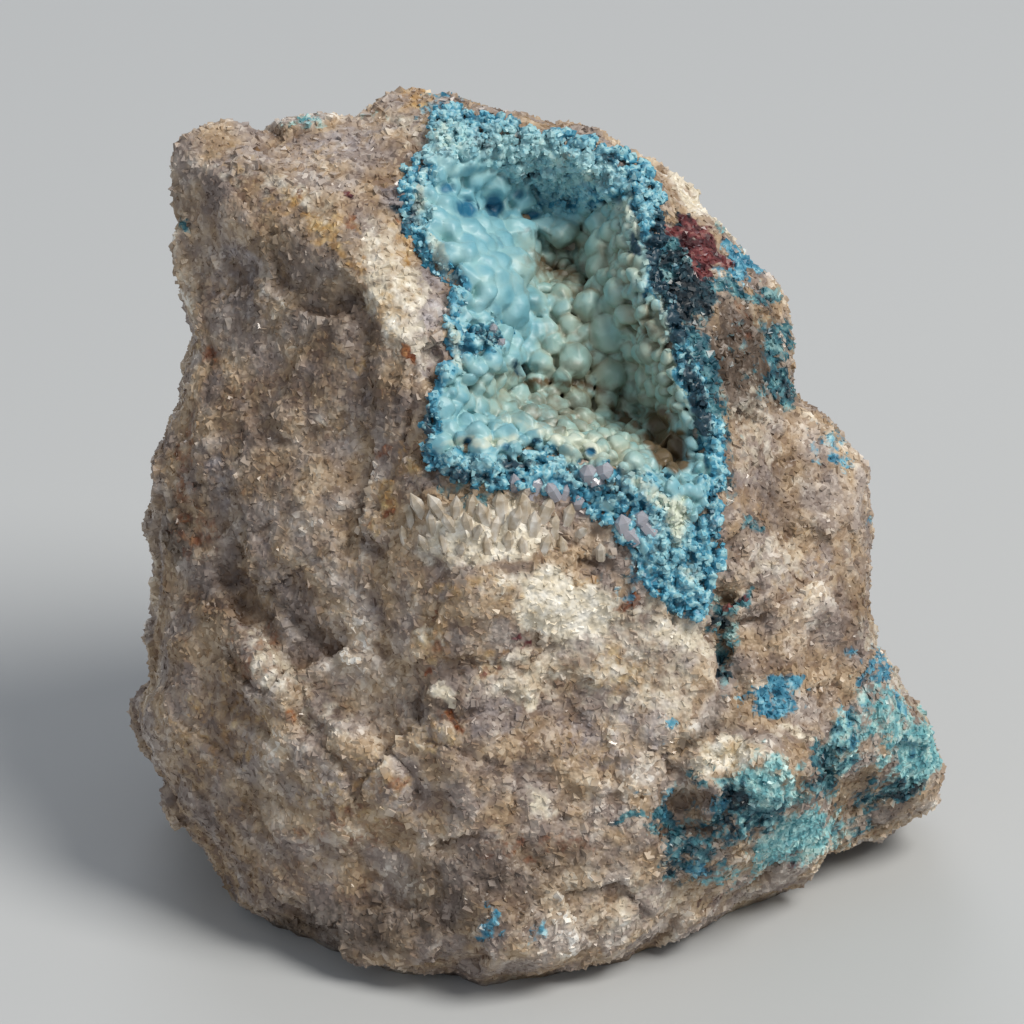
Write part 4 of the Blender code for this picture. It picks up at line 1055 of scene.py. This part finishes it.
def ball_tree(name):
    """Sets a ball on each point that has a radius, and keeps the faces that came in."""
    tree, sockets, given = new_tree(name, (("Bed", "Geometry"), ("Material", "Material")), "Lobes")
    radius = add_node(tree, "GeometryNodeInputNamedAttribute", {"Name": "radius"}, data_type="FLOAT")
    seeds = add_node(
        tree, "FunctionNodeCompare", {0: radius.outputs["Attribute"], 1: 0.0}, data_type="FLOAT",
        operation="GREATER_THAN",
    )
    ball = add_node(tree, "GeometryNodeMeshIcoSphere", {"Subdivisions": 3, "Radius": 1.0})
    lobes = add_node(
        tree, "GeometryNodeInstanceOnPoints",
        {"Points": given["Bed"], "Selection": seeds.outputs["Result"], "Instance": ball.outputs["Mesh"],
         "Scale": radius.outputs["Attribute"]},
    )
    both = add_node(tree, "GeometryNodeJoinGeometry", {"Geometry": given["Bed"]})
    tree.links.new(lobes.outputs["Instances"], both.inputs["Geometry"])
    finish_tree(tree, both.outputs["Geometry"], given["Material"])
    return tree, sockets


def bed_with_seeds():
    """The crust's solid, pressed onto the stone, with a loose vertex for each lobe's middle."""
    tree = display_tree(merged_copy("quartz_stone", "bed"))
    bed = merged_copy("shattuckite_crust", "shattuckite_lining")
    display = to_display(places(bed))
    inner = smoothstep(0.0, BED_EDGE, inside_depth(display[:, :2], CRUST_OUTLINE))
    for index, point in enumerate(display):
        near, normal, _, gap = tree.find_nearest(Vector(point))
        lift = smoothstep(CRUST_GAP, CRUST_GAP + CRUST_LEAST, gap) * inner[index]
        display[index] = near + normal * (BED_HEIGHTS[0] + (BED_HEIGHTS[1] - BED_HEIGHTS[0]) * lift)
    set_places(bed, to_world(display))
    sink(bed)
    faces_end = len(bed.vertices)
    bed.vertices.add(len(lobe_radii))
    world = places(bed)
    world[faces_end:] = to_world(lobe_middles)
    set_places(bed, world)
    set_values(bed, "radius", np.concatenate([np.zeros(faces_end), lobe_radii * MM]))
    return bed


bed = bed_with_seeds()
lining = grown_mesh("shattuckite_lining", bed, *ball_tree("lobes"))
bpy.data.meshes.remove(bed)
remesh = ("REMESH", {"mode": "VOXEL", "voxel_size": LINING_VOXEL * MM})
smooth = ("SMOOTH", {"factor": 0.5, "iterations": LINING_SMOOTHING})
lining = worked(in_order(worked(lining, remesh)), smooth)
print("the fused lining has", triangle_count(lining), "triangles")

# %% [markdown]
# Some lobes burst or have a dark blue eye in their top, and are dented there. The broken rim round the
# pocket is rougher than the lobes, so it gets small chips of its own before the mesh is thinned.

# %% Dents and the broken rim
# Across, up, half sizes, turn, depth in millimetres
DENTS = (
    (-4.6, 23.8, 0.9, 0.9, 0, 1.0), (-2.6, 24.3, 0.7, 0.9, 0, 0.9), (-6.0, 25.3, 0.6, 0.5, 0, 0.5),
    (-0.8, 25.2, 0.5, 0.5, 0, 0.4), (0.2, 23.7, 0.7, 0.4, 0, 0.4), (-4.4, 6.9, 0.3, 0.3, 0, 0.3),
    (0.3, 12.3, 0.25, 0.3, 0, 0.3), (-1.7, 6.6, 0.3, 0.3, 0, 0.3), (0.4, 7.0, 0.3, 0.2, 0, 0.3),
    (4.2, 6.2, 0.3, 0.3, 0, 0.3), (-1.1, 28.7, 0.4, 0.3, 0, 0.5), (5.9, 27.6, 0.5, 0.4, 0, 0.5),
)
RIM_CHIPS = (0.50, 0.20, 0.26)  # size, height and tilt, in millimetres
SOFT_STEPS = 20
LOBE_BENDS = ((1.5, 0.38), (0.7, 0.14))  # how lobes stray from round: size and reach of the bends


def soften(mesh, patches):
    """Smooths a mesh inside patches, so that its lobes run into each other there."""
    world = places(mesh)
    share = 0.5 * patch_values(to_display(world)[:, :2], patches)[:, None]
    ends = np.empty(2 * len(mesh.edges), np.int32)
    mesh.edges.foreach_get("vertices", ends)
    first, second = ends.reshape(-1, 2).T
    for _ in range(SOFT_STEPS):
        sums = [
            np.bincount(first, world[second, axis], len(world)) + np.bincount(second, world[first, axis], len(world))
            for axis in range(3)
        ]
        world += share * (np.stack(sums, axis=1) / np.bincount(ends, minlength=len(world))[:, None] - world)
    set_places(mesh, world)


def crumble(mesh):
    """Bends the lobes out of round, dents the burst ones, and chips the rim."""
    world = places(mesh)
    for size, reach in LOBE_BENDS:
        world += reach * np.stack([blobs(world, size, place) for place in (5.1, 23.9, 61.3)], axis=1)
    set_places(mesh, world)
    display = to_display(world)
    rim = patch_values(wandered(display), RIM_PATCHES)
    size, height, tilt = RIM_CHIPS
    heights, tilts = chips(world, size)
    world += normals(mesh) * ((height * heights + tilt * tilts) * rim)[:, None]
    display = to_display(world)
    display[:, 2] -= patch_values(display[:, :2], DENTS)
    set_places(mesh, to_world(display))


soften(lining, SWELL_PATCHES)
crumble(lining)
lining = worked(lining, ("DECIMATE", {"ratio": LINING_TRIANGLES / triangle_count(lining)}))
lining.validate()  # drops the few faces that the thinning has folded onto each other
print("the lining keeps", triangle_count(lining), "triangles")

# %% [markdown]
# Colour follows growth. In the pocket a lobe is palest on its flanks, and the olive where it meets the
# next is painted shade; at the rim it has an azure eye, a pale crest round it, and a dark foot, which is
# painted shade over its deep blue. So each vertex stores how near it is to its lobe's top, how close to
# a crease, a tone drawn for its lobe, and where it lies.

# %% Store the growth on the lining
VERTICES_AT_ONCE = 2000  # keeps the table of distances small
# Creases and the bed between lobes are darkened in colour: painted shade, faint on the pale wall
CREASE_SHADE_WIDTH = 0.22
PALE_WALL_CREASE_SHADE = 0.25  # how dark a crease is on the pale wall, against one in the depth
ZONES = {  # across, up, half sizes, turn, strength
    "sage": (
        (5.6, 11.6, 6.0, 7.8, 0, 1.0), (4.0, 20.0, 5.0, 3.6, 0, 0.9), (0.0, 10.4, 5.0, 2.6, 0, 0.7),
        (6.2, 23.0, 2.4, 2.4, 0, 0.6),
    ),
    "cream": (
        (2.4, 7.2, 4.8, 0.8, -18, 0.9), (8.6, 3.4, 2.6, 0.7, -30, 0.9), (-3.4, 6.8, 3.6, 0.6, 0, 0.9),
        (-6.6, 20.2, 0.5, 3.0, 25, 0.7), (10.2, 1.8, 0.9, 2.2, 0, 1.2), (2.6, 27.2, 3.6, 0.8, -10, 0.35),
        (7.6, 25.6, 1.0, 1.0, 0, 0.4), (-0.6, 28.6, 3.4, 0.8, -5, 0.35), (9.6, 15.6, 0.4, 3.0, 14, 0.8),
        (-5.2, 13.6, 0.5, 2.2, 10, 0.8), (-7.4, 26.6, 0.9, 1.6, 0, 0.5), (7.0, 23.2, 0.5, 1.4, 30, 0.8),
        (-6.0, 29.2, 1.6, 1.6, 0, 0.5), (-2.4, 27.2, 1.6, 0.6, -30, 0.4), (4.6, 26.4, 1.4, 0.6, 0, 0.6),
        (6.6, 0.4, 1.6, 0.5, -45, 0.6), (11.4, -2.4, 0.8, 1.2, 0, 0.6), (-7.9, 24.8, 0.6, 1.2, 0, 0.8),
    ),
    # brown: the crust's own brown, with painted shade in the caves and on the deep, shaded floor
    "brown": (
        (1.5, 9.4, 3.8, 1.8, -8, 0.55), (9.9, 6.2, 1.3, 1.7, 15, 1.7), (9.3, 8.4, 0.9, 1.4, 0, 1.3), (2.0, 11.2, 4.4, 0.4, -8, 0.9),
        (6.9, 8.9, 1.9, 0.4, -35, 1.0), (8.4, 7.0, 1.0, 0.7, -45, 1.0), (2.0, 19.9, 2.6, 1.0, -12, 0.8),
        (4.2, 18.3, 1.4, 0.6, -10, 0.8), (8.3, 15.4, 0.4, 1.6, 5, 0.7), (2.6, 27.9, 0.6, 0.4, 0, 0.7),
        (6.4, 10.4, 3.0, 0.8, -20, 0.45), (2.4, 14.2, 0.6, 2.0, 0, 0.5), (4.6, 13.6, 0.5, 1.0, 0, 0.5),
    ),
    # dark: painted shade in the caves and down the shaded right wall, and dark teal along the rim
    "dark": (
        (9.6, 20.4, 1.4, 3.6, 5, 1.9), (10.4, 15.8, 1.1, 2.4, 12, 1.4), (11.8, 10.0, 0.9, 4.2, 12, 1.3),
        (0.1, 26.7, 0.8, 0.5, 0, 1.1), (2.6, 25.2, 1.4, 0.4, -20, 0.8), (-1.1, 28.8, 0.5, 0.4, 0, 1.0),
        (5.9, 27.8, 0.6, 0.4, 0, 1.0), (3.3, 27.6, 0.4, 0.3, 0, 0.8), (-7.5, 8.6, 0.5, 2.8, 0, 1.1),
        (-8.9, 22.6, 0.5, 2.8, -25, 1.1), (-4.8, 4.4, 3.0, 0.6, 0, 1.2), (-0.8, 5.3, 2.2, 0.4, 0, 1.2), (4.6, 3.6, 2.4, 0.5, -25, 0.9),
        (-2.9, 14.5, 1.2, 1.3, 0, 0.95), (-1.0, 12.2, 0.6, 0.7, 0, 1.2), (5.6, 26.2, 1.0, 0.6, 0, 0.8),
        (1.0, 22.0, 1.6, 0.6, 0, 0.6), (3.0, 21.6, 0.7, 0.8, 0, 0.8), (7.5, 21.2, 0.3, 1.9, 28, 1.1),
        (-6.8, 14.0, 0.5, 2.2, 10, 1.0), (12.9, 1.6, 0.5, 4.0, 0, 0.9), (7.6, -1.6, 1.6, 0.6, -45, 0.8),
        (9.4, -1.0, 0.7, 1.4, 0, 0.8), (-3.2, 28.6, 1.0, 0.6, 0, 0.8), (3.8, 24.2, 1.2, 0.5, 0, 0.7),
    ),
    "film": (
        (1.0, 27.6, 7.5, 2.4, -12, 0.85), (-6.0, 28.4, 2.8, 2.8, 0, 0.8), (-7.4, 24.6, 1.2, 3.0, -20, 0.6),
        (9.6, 0.8, 2.6, 2.8, -40, 0.6), (-3.0, 5.4, 4.4, 0.9, 0, 0.6), (3.6, 4.8, 4.0, 1.0, -24, 0.6),
        (11.0, 12.0, 0.8, 6.0, 14, 0.3), (-5.4, 15.0, 0.8, 3.0, 15, 0.5), (10.6, -2.6, 2.6, 2.6, 0, 0.35),
        (8.4, 24.6, 1.6, 2.2, 10, 0.5),
    ),
    "eye": (
        (-4.6, 23.9, 1.0, 0.9, 0, 1.0), (-2.6, 24.3, 0.8, 1.0, 0, 0.95), (-6.0, 25.3, 0.7, 0.5, 0, 0.9),
        (-0.8, 25.2, 0.5, 0.5, 0, 0.8), (0.2, 23.7, 0.8, 0.4, 0, 0.9), (-3.0, 19.4, 0.5, 1.6, 20, 0.3),
        (-2.4, 16.8, 0.8, 0.9, 0, 0.3), (0.3, 16.5, 0.6, 0.8, 0, 0.35), (-1.8, 21.6, 0.8, 0.9, 0, 0.4), (-4.4, 6.9, 0.4, 0.4, 0, 0.9), (-1.7, 6.6, 0.4, 0.4, 0, 0.9),
        (0.4, 7.0, 0.5, 0.3, 0, 0.9), (4.2, 6.2, 0.5, 0.4, 0, 0.9), (5.7, 15.2, 0.8, 0.8, 0, 0.25),
    ),
}


def growth(display):
    """How near each point is to its lobe's top, to a crease, and which lobe is its own."""
    top, crease, owner = np.empty(len(display)), np.empty(len(display)), np.empty(len(display), int)
    for start in range(0, len(display), VERTICES_AT_ONCE):
        part = display[start:start + VERTICES_AT_ONCE]
        off = part[:, None, :] - lobe_middles[None, :, :]
        gap = np.linalg.norm(off, axis=2)
        over = gap - lobe_radii
        nearest = over.argmin(axis=1)
        rows = np.arange(len(part))
        first = over[rows, nearest]
        away = off[rows, nearest] / gap[rows, nearest][:, None]
        over[rows, nearest] = np.inf
        second = over.min(axis=1)
        end = start + len(part)
        owner[start:end] = nearest
        top[start:end] = (away * lobe_ways[nearest]).sum(axis=1)
        # how far into a crease: where painted shade darkens the colour
        valley = 1.0 - smoothstep(0.0, CREASE_SHADE_WIDTH, second - first)
        crease[start:end] = np.maximum(valley, smoothstep(0.05, 0.25, first))
    return top, crease, owner


def store_growth(mesh):
    display = to_display(places(mesh))
    flat = wandered(display)
    top, crease, owner = growth(display)
    draw = random.Random(6)
    tones = np.array([draw.random() for _ in lobe_radii])
    edge = 1.0 - smoothstep(0.3, 1.3, inside_depth(display[:, :2], CRUST_OUTLINE))
    set_values(mesh, "top", np.clip(top, 0, 1))
    sage = patch_values(flat, ZONES["sage"])
    set_values(mesh, "crease", crease * (PALE_WALL_CREASE_SHADE + (1.0 - PALE_WALL_CREASE_SHADE) * np.clip(sage, 0, 1)))
    set_values(mesh, "tone", tones[owner])
    set_values(mesh, "rim", np.maximum(patch_values(flat, RIM_PATCHES), 0.9 * edge))
    for name, patches in ZONES.items():
        bent = display[:, :2] + (0.0 if name == "eye" else 0.5) * (flat - display[:, :2])
        set_values(mesh, name, patch_values(bent, patches))


store_growth(lining)
print("growth is stored on", len(lining.vertices), "vertices")

# %% The lining's material: shattuckite and its pale cover
# The darker feet of these ramps are painted shade where lobes meet the bed and each other, over the crust's own
# colours
LINING_TONES = {  # from a lobe's foot to its top
    "sky": ((0.0, "#739f9c"), (0.25, "#8ebcc0"), (0.5, "#95c3ca"), (0.75, "#7cb4c2"), (1.0, "#579db4")),
    "sage": ((0.0, "#877e65"), (0.3, "#a6ad9a"), (0.6, "#a9c0b5"), (0.85, "#8fb6b3"), (1.0, "#79a8ac")),
    "azure": (
        (0.0, "#1a4657"), (0.25, "#2b7490"), (0.42, "#4292b0"), (0.58, "#6eb1c6"), (0.72, "#a6d0d5"),
        (0.82, "#82bfce"), (0.92, "#4596b3"), (1.0, "#2a6f8a"),
    ),
}
LOBE_SHARE = 0.25  # of a lobe's own tone in its colour, against its height
SPECKLE_SIZE = 0.6
# brown and dark lay painted shade into the caves and the shaded walls, over the crust's own colours
PATCH_COLOURS = (  # zone, colour, strength at which it starts, how much chance spares
    ("film", "#b2d9dc", 0.0, 0.8), ("cream", "#d4dccb", 0.10, 0.6), ("brown", "#64543c", 0.05, 0.6), ("dark", "#14394a", 0.10, 0.9),
    ("eye", "#256a8c", 0.05, 0.6),
)


def lining_material(name, own):
    """Botryoidal copper silicate: satin lobes in the pocket, a rough azure rim where it broke."""
    material, tree = new_material(name)
    place = add_node(tree, "ShaderNodeTexCoord").outputs["Object"]
    cloud = add_node(tree, "ShaderNodeTexNoise", {"Vector": place, "Scale": 1 / (1.6 * MM), "Detail": 4.0})
    speck = add_node(tree, "ShaderNodeTexNoise", {"Vector": place, "Scale": 1 / (SPECKLE_SIZE * MM), "Detail": 4.0})
    top = add_node(tree, "ShaderNodeAttribute", attribute_name="top")
    tone = add_node(tree, "ShaderNodeAttribute", attribute_name="tone")
    height = add_node(
        tree, "ShaderNodeMix", {0: own, 2: top.outputs["Fac"], 3: tone.outputs["Fac"]}, data_type="FLOAT"
    ).outputs[0]
    soft = add_node(
        tree, "ShaderNodeMix", {0: 0.3, 2: height, 3: cloud.outputs["Fac"]}, data_type="FLOAT"
    ).outputs[0]
    crumb = add_node(
        tree, "ShaderNodeMapRange", {"Value": speck.outputs["Fac"], "From Min": 0.3, "From Max": 0.7}
    ).outputs["Result"]
    rough = add_node(tree, "ShaderNodeMix", {0: 0.3, 2: height, 3: crumb}, data_type="FLOAT").outputs[0]
    spared = add_node(
        tree, "ShaderNodeMix", {0: 0.5, 2: crumb, 3: tone.outputs["Fac"]}, data_type="FLOAT"
    ).outputs[0]
    colour = toned(tree, soft, LINING_TONES["sky"])
    colour = coated(tree, colour, toned(tree, soft, LINING_TONES["sage"]), "sage", crumb, 0.1, 0.2, 0.6)
    # painted shade: olive-dark creases and bed between the lobes
    colour = coated(tree, colour, linear("#6a6650"), "crease", crumb, 0.0, 0.2, 1.6)
    colour = coated(tree, colour, toned(tree, rough, LINING_TONES["azure"]), "rim", spared, 0.12, 0.35, 0.3)
    for zone, hex_colour, least, gone in PATCH_COLOURS:
        colour = coated(tree, colour, linear(hex_colour), zone, spared, least, gone, 0.6)
    bump = add_node(tree, "ShaderNodeBump", {"Height": speck.outputs["Fac"], "Distance": 0.1 * MM, "Strength": 0.5})
    shader = add_node(
        tree, "ShaderNodeBsdfPrincipled",
        {"Base Color": colour, "Roughness": 0.45, "IOR": 1.6, "Normal": bump.outputs["Normal"]},
    )
    add_node(tree, "ShaderNodeOutputMaterial", {"Surface": shader.outputs["BSDF"]})
    return material


lining.materials.clear()
lining.materials.append(lining_material("botryoidal_copper_silicate", LOBE_SHARE))
lining.shade_smooth()
lining_piece = object_of("shattuckite_lining", lining)
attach(lining_piece, "root")
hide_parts("shattuckite_crust")
print("the lining is dressed")

# %% [markdown]
# Where the crust broke, at its rim and down its tail, it is a druse of angular crumbs. The same scatter
# as on the rock strews them over the lining, and they take the colours of the place that they stand on.

# %% Crumbs of the broken crust
CRUMB_SIZES = {"Spacing": 0.33, "Smallest": 0.11, "Largest": 0.25, "Sink": 0.30, "Seed": 36}
CRUMB_SHARE = 0.75  # of a crumb's own tone in its colour
add_grains(
    "crust_crumbs", lining, "rim", lining_material("crumbled_copper_silicate", CRUMB_SHARE),
    CRUMB_SIZES,
)

# %% [markdown]
# Quartz lines the edge of the pocket. Below it stand milky prisms, side by side like the teeth of a comb,
# and in the crust's rim sit a few clear, lilac-grey crystals, sunk so deep that they look like windows.
# All are listed one by one. Geometry Nodes put a six-sided prism with a pointed tip, one convex hull
# each, on every point, and turn and stretch it by what the point carries.

# %% Quartz crystals
# Each: across, up, width, length, lean from square off the wall towards up, sideways lean, in degrees
MILKY_PRISMS = (
    (-8.4, 1.3, 0.7, 2.0, 60, 8), (-7.7, 2.0, 0.9, 2.6, 58, -6), (-6.9, 1.0, 0.8, 2.1, 62, 12),
    (-6.4, 2.0, 1.0, 2.7, 60, -2), (-5.6, 1.0, 0.8, 2.2, 56, -12), (-5.2, 1.9, 0.9, 2.2, 62, 8),
    (-4.4, 1.0, 0.8, 2.0, 60, -8), (-3.8, 0.4, 0.7, 2.4, 54, 4), (-4.2, 2.3, 0.8, 1.6, 64, 12),
    (-3.2, 1.5, 1.0, 2.4, 60, -9), (-2.5, 0.7, 0.9, 2.0, 58, 6), (-2.1, 2.1, 1.1, 2.4, 62, -4),
    (-1.2, 1.2, 1.0, 2.6, 58, 9), (-0.4, 2.1, 1.0, 2.2, 62, -9), (0.2, 0.8, 1.0, 2.3, 56, 3),
    (1.0, 1.8, 1.1, 2.4, 60, 11), (1.7, 0.8, 0.8, 2.0, 58, -10), (2.6, 1.5, 0.9, 2.0, 62, 7),
    (3.4, 0.4, 0.7, 1.8, 58, -6), (-7.4, -0.4, 0.7, 1.7, 54, 14), (-6.1, -0.2, 0.6, 1.6, 58, -14),
    (-4.9, -0.7, 0.7, 1.7, 52, 8), (-3.0, -0.6, 0.7, 1.7, 56, -6), (-1.6, -0.3, 0.8, 1.8, 54, 12),
    (-0.5, -0.6, 0.7, 1.6, 58, -8), (1.0, -0.5, 0.8, 1.8, 56, 4), (2.3, -0.6, 0.7, 1.6, 58, -12),
    (4.9, -0.9, 0.7, 1.4, 60, 4), (-8.9, 0.1, 0.6, 1.6, 60, 0),
)
WINDOW_CRYSTALS = (
    (4.0, 4.6, 1.2, 1.7, 35, 5), (5.1, 4.8, 1.2, 1.6, 45, 60), (4.7, 4.0, 1.1, 1.6, 35, -50),
    (6.4, 1.0, 1.2, 1.7, 40, 10), (7.5, 1.4, 1.2, 1.7, 45, 65), (7.0, 0.4, 1.1, 1.6, 35, -45),
    (8.0, 0.7, 1.0, 1.5, 50, 30), (3.2, 2.5, 1.0, 1.6, 50, 20), (0.4, 3.6, 1.0, 1.9, 58, 8),
    (-1.1, 3.8, 0.9, 1.8, 60, -10), (1.5, 3.3, 0.9, 1.7, 55, -5), (2.4, 3.2, 0.8, 1.5, 50, 12),
    (-2.7, 14.9, 0.7, 1.1, 50, 10), (-2.1, 13.9, 0.6, 1.0, 45, -14),
)
PRISM_RISE = -0.14  # of a milky crystal's middle over the wall, in widths
WINDOW_RISE = -0.26  # the same of a clear one over the wall or the crust
TIP_SHARE = 0.30  # of a crystal's length


def crystal_tree(name):
    """Sets a pointed prism on each point, turned by its way and scaled by its size."""
    tree, sockets, given = new_tree(name, (("Points", "Geometry"), ("Material", "Material")), "Crystals")
    way = add_node(tree, "GeometryNodeInputNamedAttribute", {"Name": "way"}, data_type="FLOAT_VECTOR")
    size = add_node(tree, "GeometryNodeInputNamedAttribute", {"Name": "size"}, data_type="FLOAT_VECTOR")
    turn = add_node(tree, "FunctionNodeAlignRotationToVector", {"Vector": way.outputs["Attribute"]}, axis="Z")
    body = add_node(tree, "GeometryNodeMeshCylinder", {"Vertices": 6, "Radius": 0.5, "Depth": 1.0 - TIP_SHARE})
    tip = add_node(
        tree, "GeometryNodeMeshCone",
        {"Vertices": 6, "Radius Top": 0.04, "Radius Bottom": 0.5, "Depth": TIP_SHARE},
    )
    lifted = add_node(
        tree, "GeometryNodeTransform",
        {"Geometry": tip.outputs["Mesh"], "Translation": (0, 0, (1.0 - TIP_SHARE) / 2)},
    )
    both = add_node(tree, "GeometryNodeJoinGeometry", {"Geometry": body.outputs["Mesh"]})
    tree.links.new(lifted.outputs["Geometry"], both.inputs["Geometry"])
    hull = add_node(tree, "GeometryNodeConvexHull", {"Geometry": both.outputs["Geometry"]})
    crystals = add_node(
        tree, "GeometryNodeInstanceOnPoints",
        {"Points": given["Points"], "Instance": hull.outputs["Convex Hull"],
         "Rotation": turn.outputs["Rotation"], "Scale": size.outputs["Attribute"]},
    )
    finish_tree(tree, crystals.outputs["Instances"], given["Material"])
    return tree, sockets


def crystal_points(rows, rise):
    """A mesh of loose points, each with the way and the size of its crystal."""
    trees = [display_tree(mesh) for mesh in (skin, lining)]
    middles, ways, sizes = [], [], []
    for across, up, width, length, lean, sideways in rows:
        hits = [tree.ray_cast(Vector((across, up, EYE_FAR)), EYE_LINE) for tree in trees]
        place, normal, _, _ = min((hit for hit in hits if hit[0]), key=lambda hit: hit[3])
        along = (Vector((math.tan(math.radians(sideways)), 1.0, 0.0)) - normal * normal.y).normalized()
        way = (normal * math.cos(math.radians(lean)) + along * math.sin(math.radians(lean))).normalized()
        middles.append(place + normal * (rise * width))
        ways.append(way)
        sizes.append((width * MM, width * MM, length * MM))
    mesh = bpy.data.meshes.new("crystals")
    mesh.vertices.add(len(rows))
    set_places(mesh, to_world(middles))
    turned = to_world(ways) - HEART
    for name, values in (("way", turned), ("size", np.array(sizes))):
        attribute = mesh.attributes.new(name, "FLOAT_VECTOR", "POINT")
        attribute.data.foreach_set("vector", values.astype(np.float32).ravel())
    return mesh


print(len(MILKY_PRISMS), "milky prisms and", len(WINDOW_CRYSTALS), "clear crystals")

# %% Two kinds of quartz, and the crystals of each
QUARTZ_IOR = 1.544


def milky_material():
    """Milky quartz: cloudy with tiny bubbles, stained tan in patches, with a glassy skin."""
    material, tree = new_material("milky_quartz")
    place = add_node(tree, "ShaderNodeTexCoord").outputs["Object"]
    cloud = add_node(tree, "ShaderNodeTexNoise", {"Vector": place, "Scale": 1 / (0.9 * MM), "Detail": 3.0})
    wide = add_node(tree, "ShaderNodeMapRange", {"Value": cloud.outputs["Fac"], "From Min": 0.3, "From Max": 0.7})
    tones = ((0.0, "#a8957a"), (0.35, "#c6b8a3"), (0.7, "#dcd4c8"), (1.0, "#f4f1ea"))
    shader = add_node(
        tree, "ShaderNodeBsdfPrincipled",
        {"Base Color": toned(tree, wide.outputs["Result"], tones), "Roughness": 0.28, "IOR": QUARTZ_IOR,
         "Transmission Weight": 0.2},
    )
    add_node(tree, "ShaderNodeOutputMaterial", {"Surface": shader.outputs["BSDF"]})
    return material


def clear_material():
    """Rock crystal with a breath of lilac grey: the eye sees through it to the rock and the crust."""
    material, tree = new_material("lilac_grey_quartz")
    shader = add_node(
        tree, "ShaderNodeBsdfPrincipled",
        {"Base Color": linear("#d3d1db"), "Roughness": 0.15, "IOR": QUARTZ_IOR, "Transmission Weight": 0.45},
    )
    inside = add_node(tree, "ShaderNodeVolumeAbsorption", {"Color": linear("#dcd8e0"), "Density": 120.0})
    add_node(
        tree, "ShaderNodeOutputMaterial", {"Surface": shader.outputs["BSDF"], "Volume": inside.outputs["Volume"]}
    )
    return material


def add_crystals(name, rows, rise, material):
    tree, identifiers = crystal_tree(name)
    points = crystal_points(rows, rise)
    mesh = grown_mesh(name, points, tree, identifiers, Material=material)
    bpy.data.meshes.remove(points)
    mesh.shade_flat()
    piece = object_of(name, mesh)
    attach(piece, "root")
    print(name, "has", triangle_count(mesh), "triangles")


add_crystals("milky_prisms", MILKY_PRISMS, PRISM_RISE, milky_material())
add_crystals("window_quartz", WINDOW_CRYSTALS, WINDOW_RISE, clear_material())
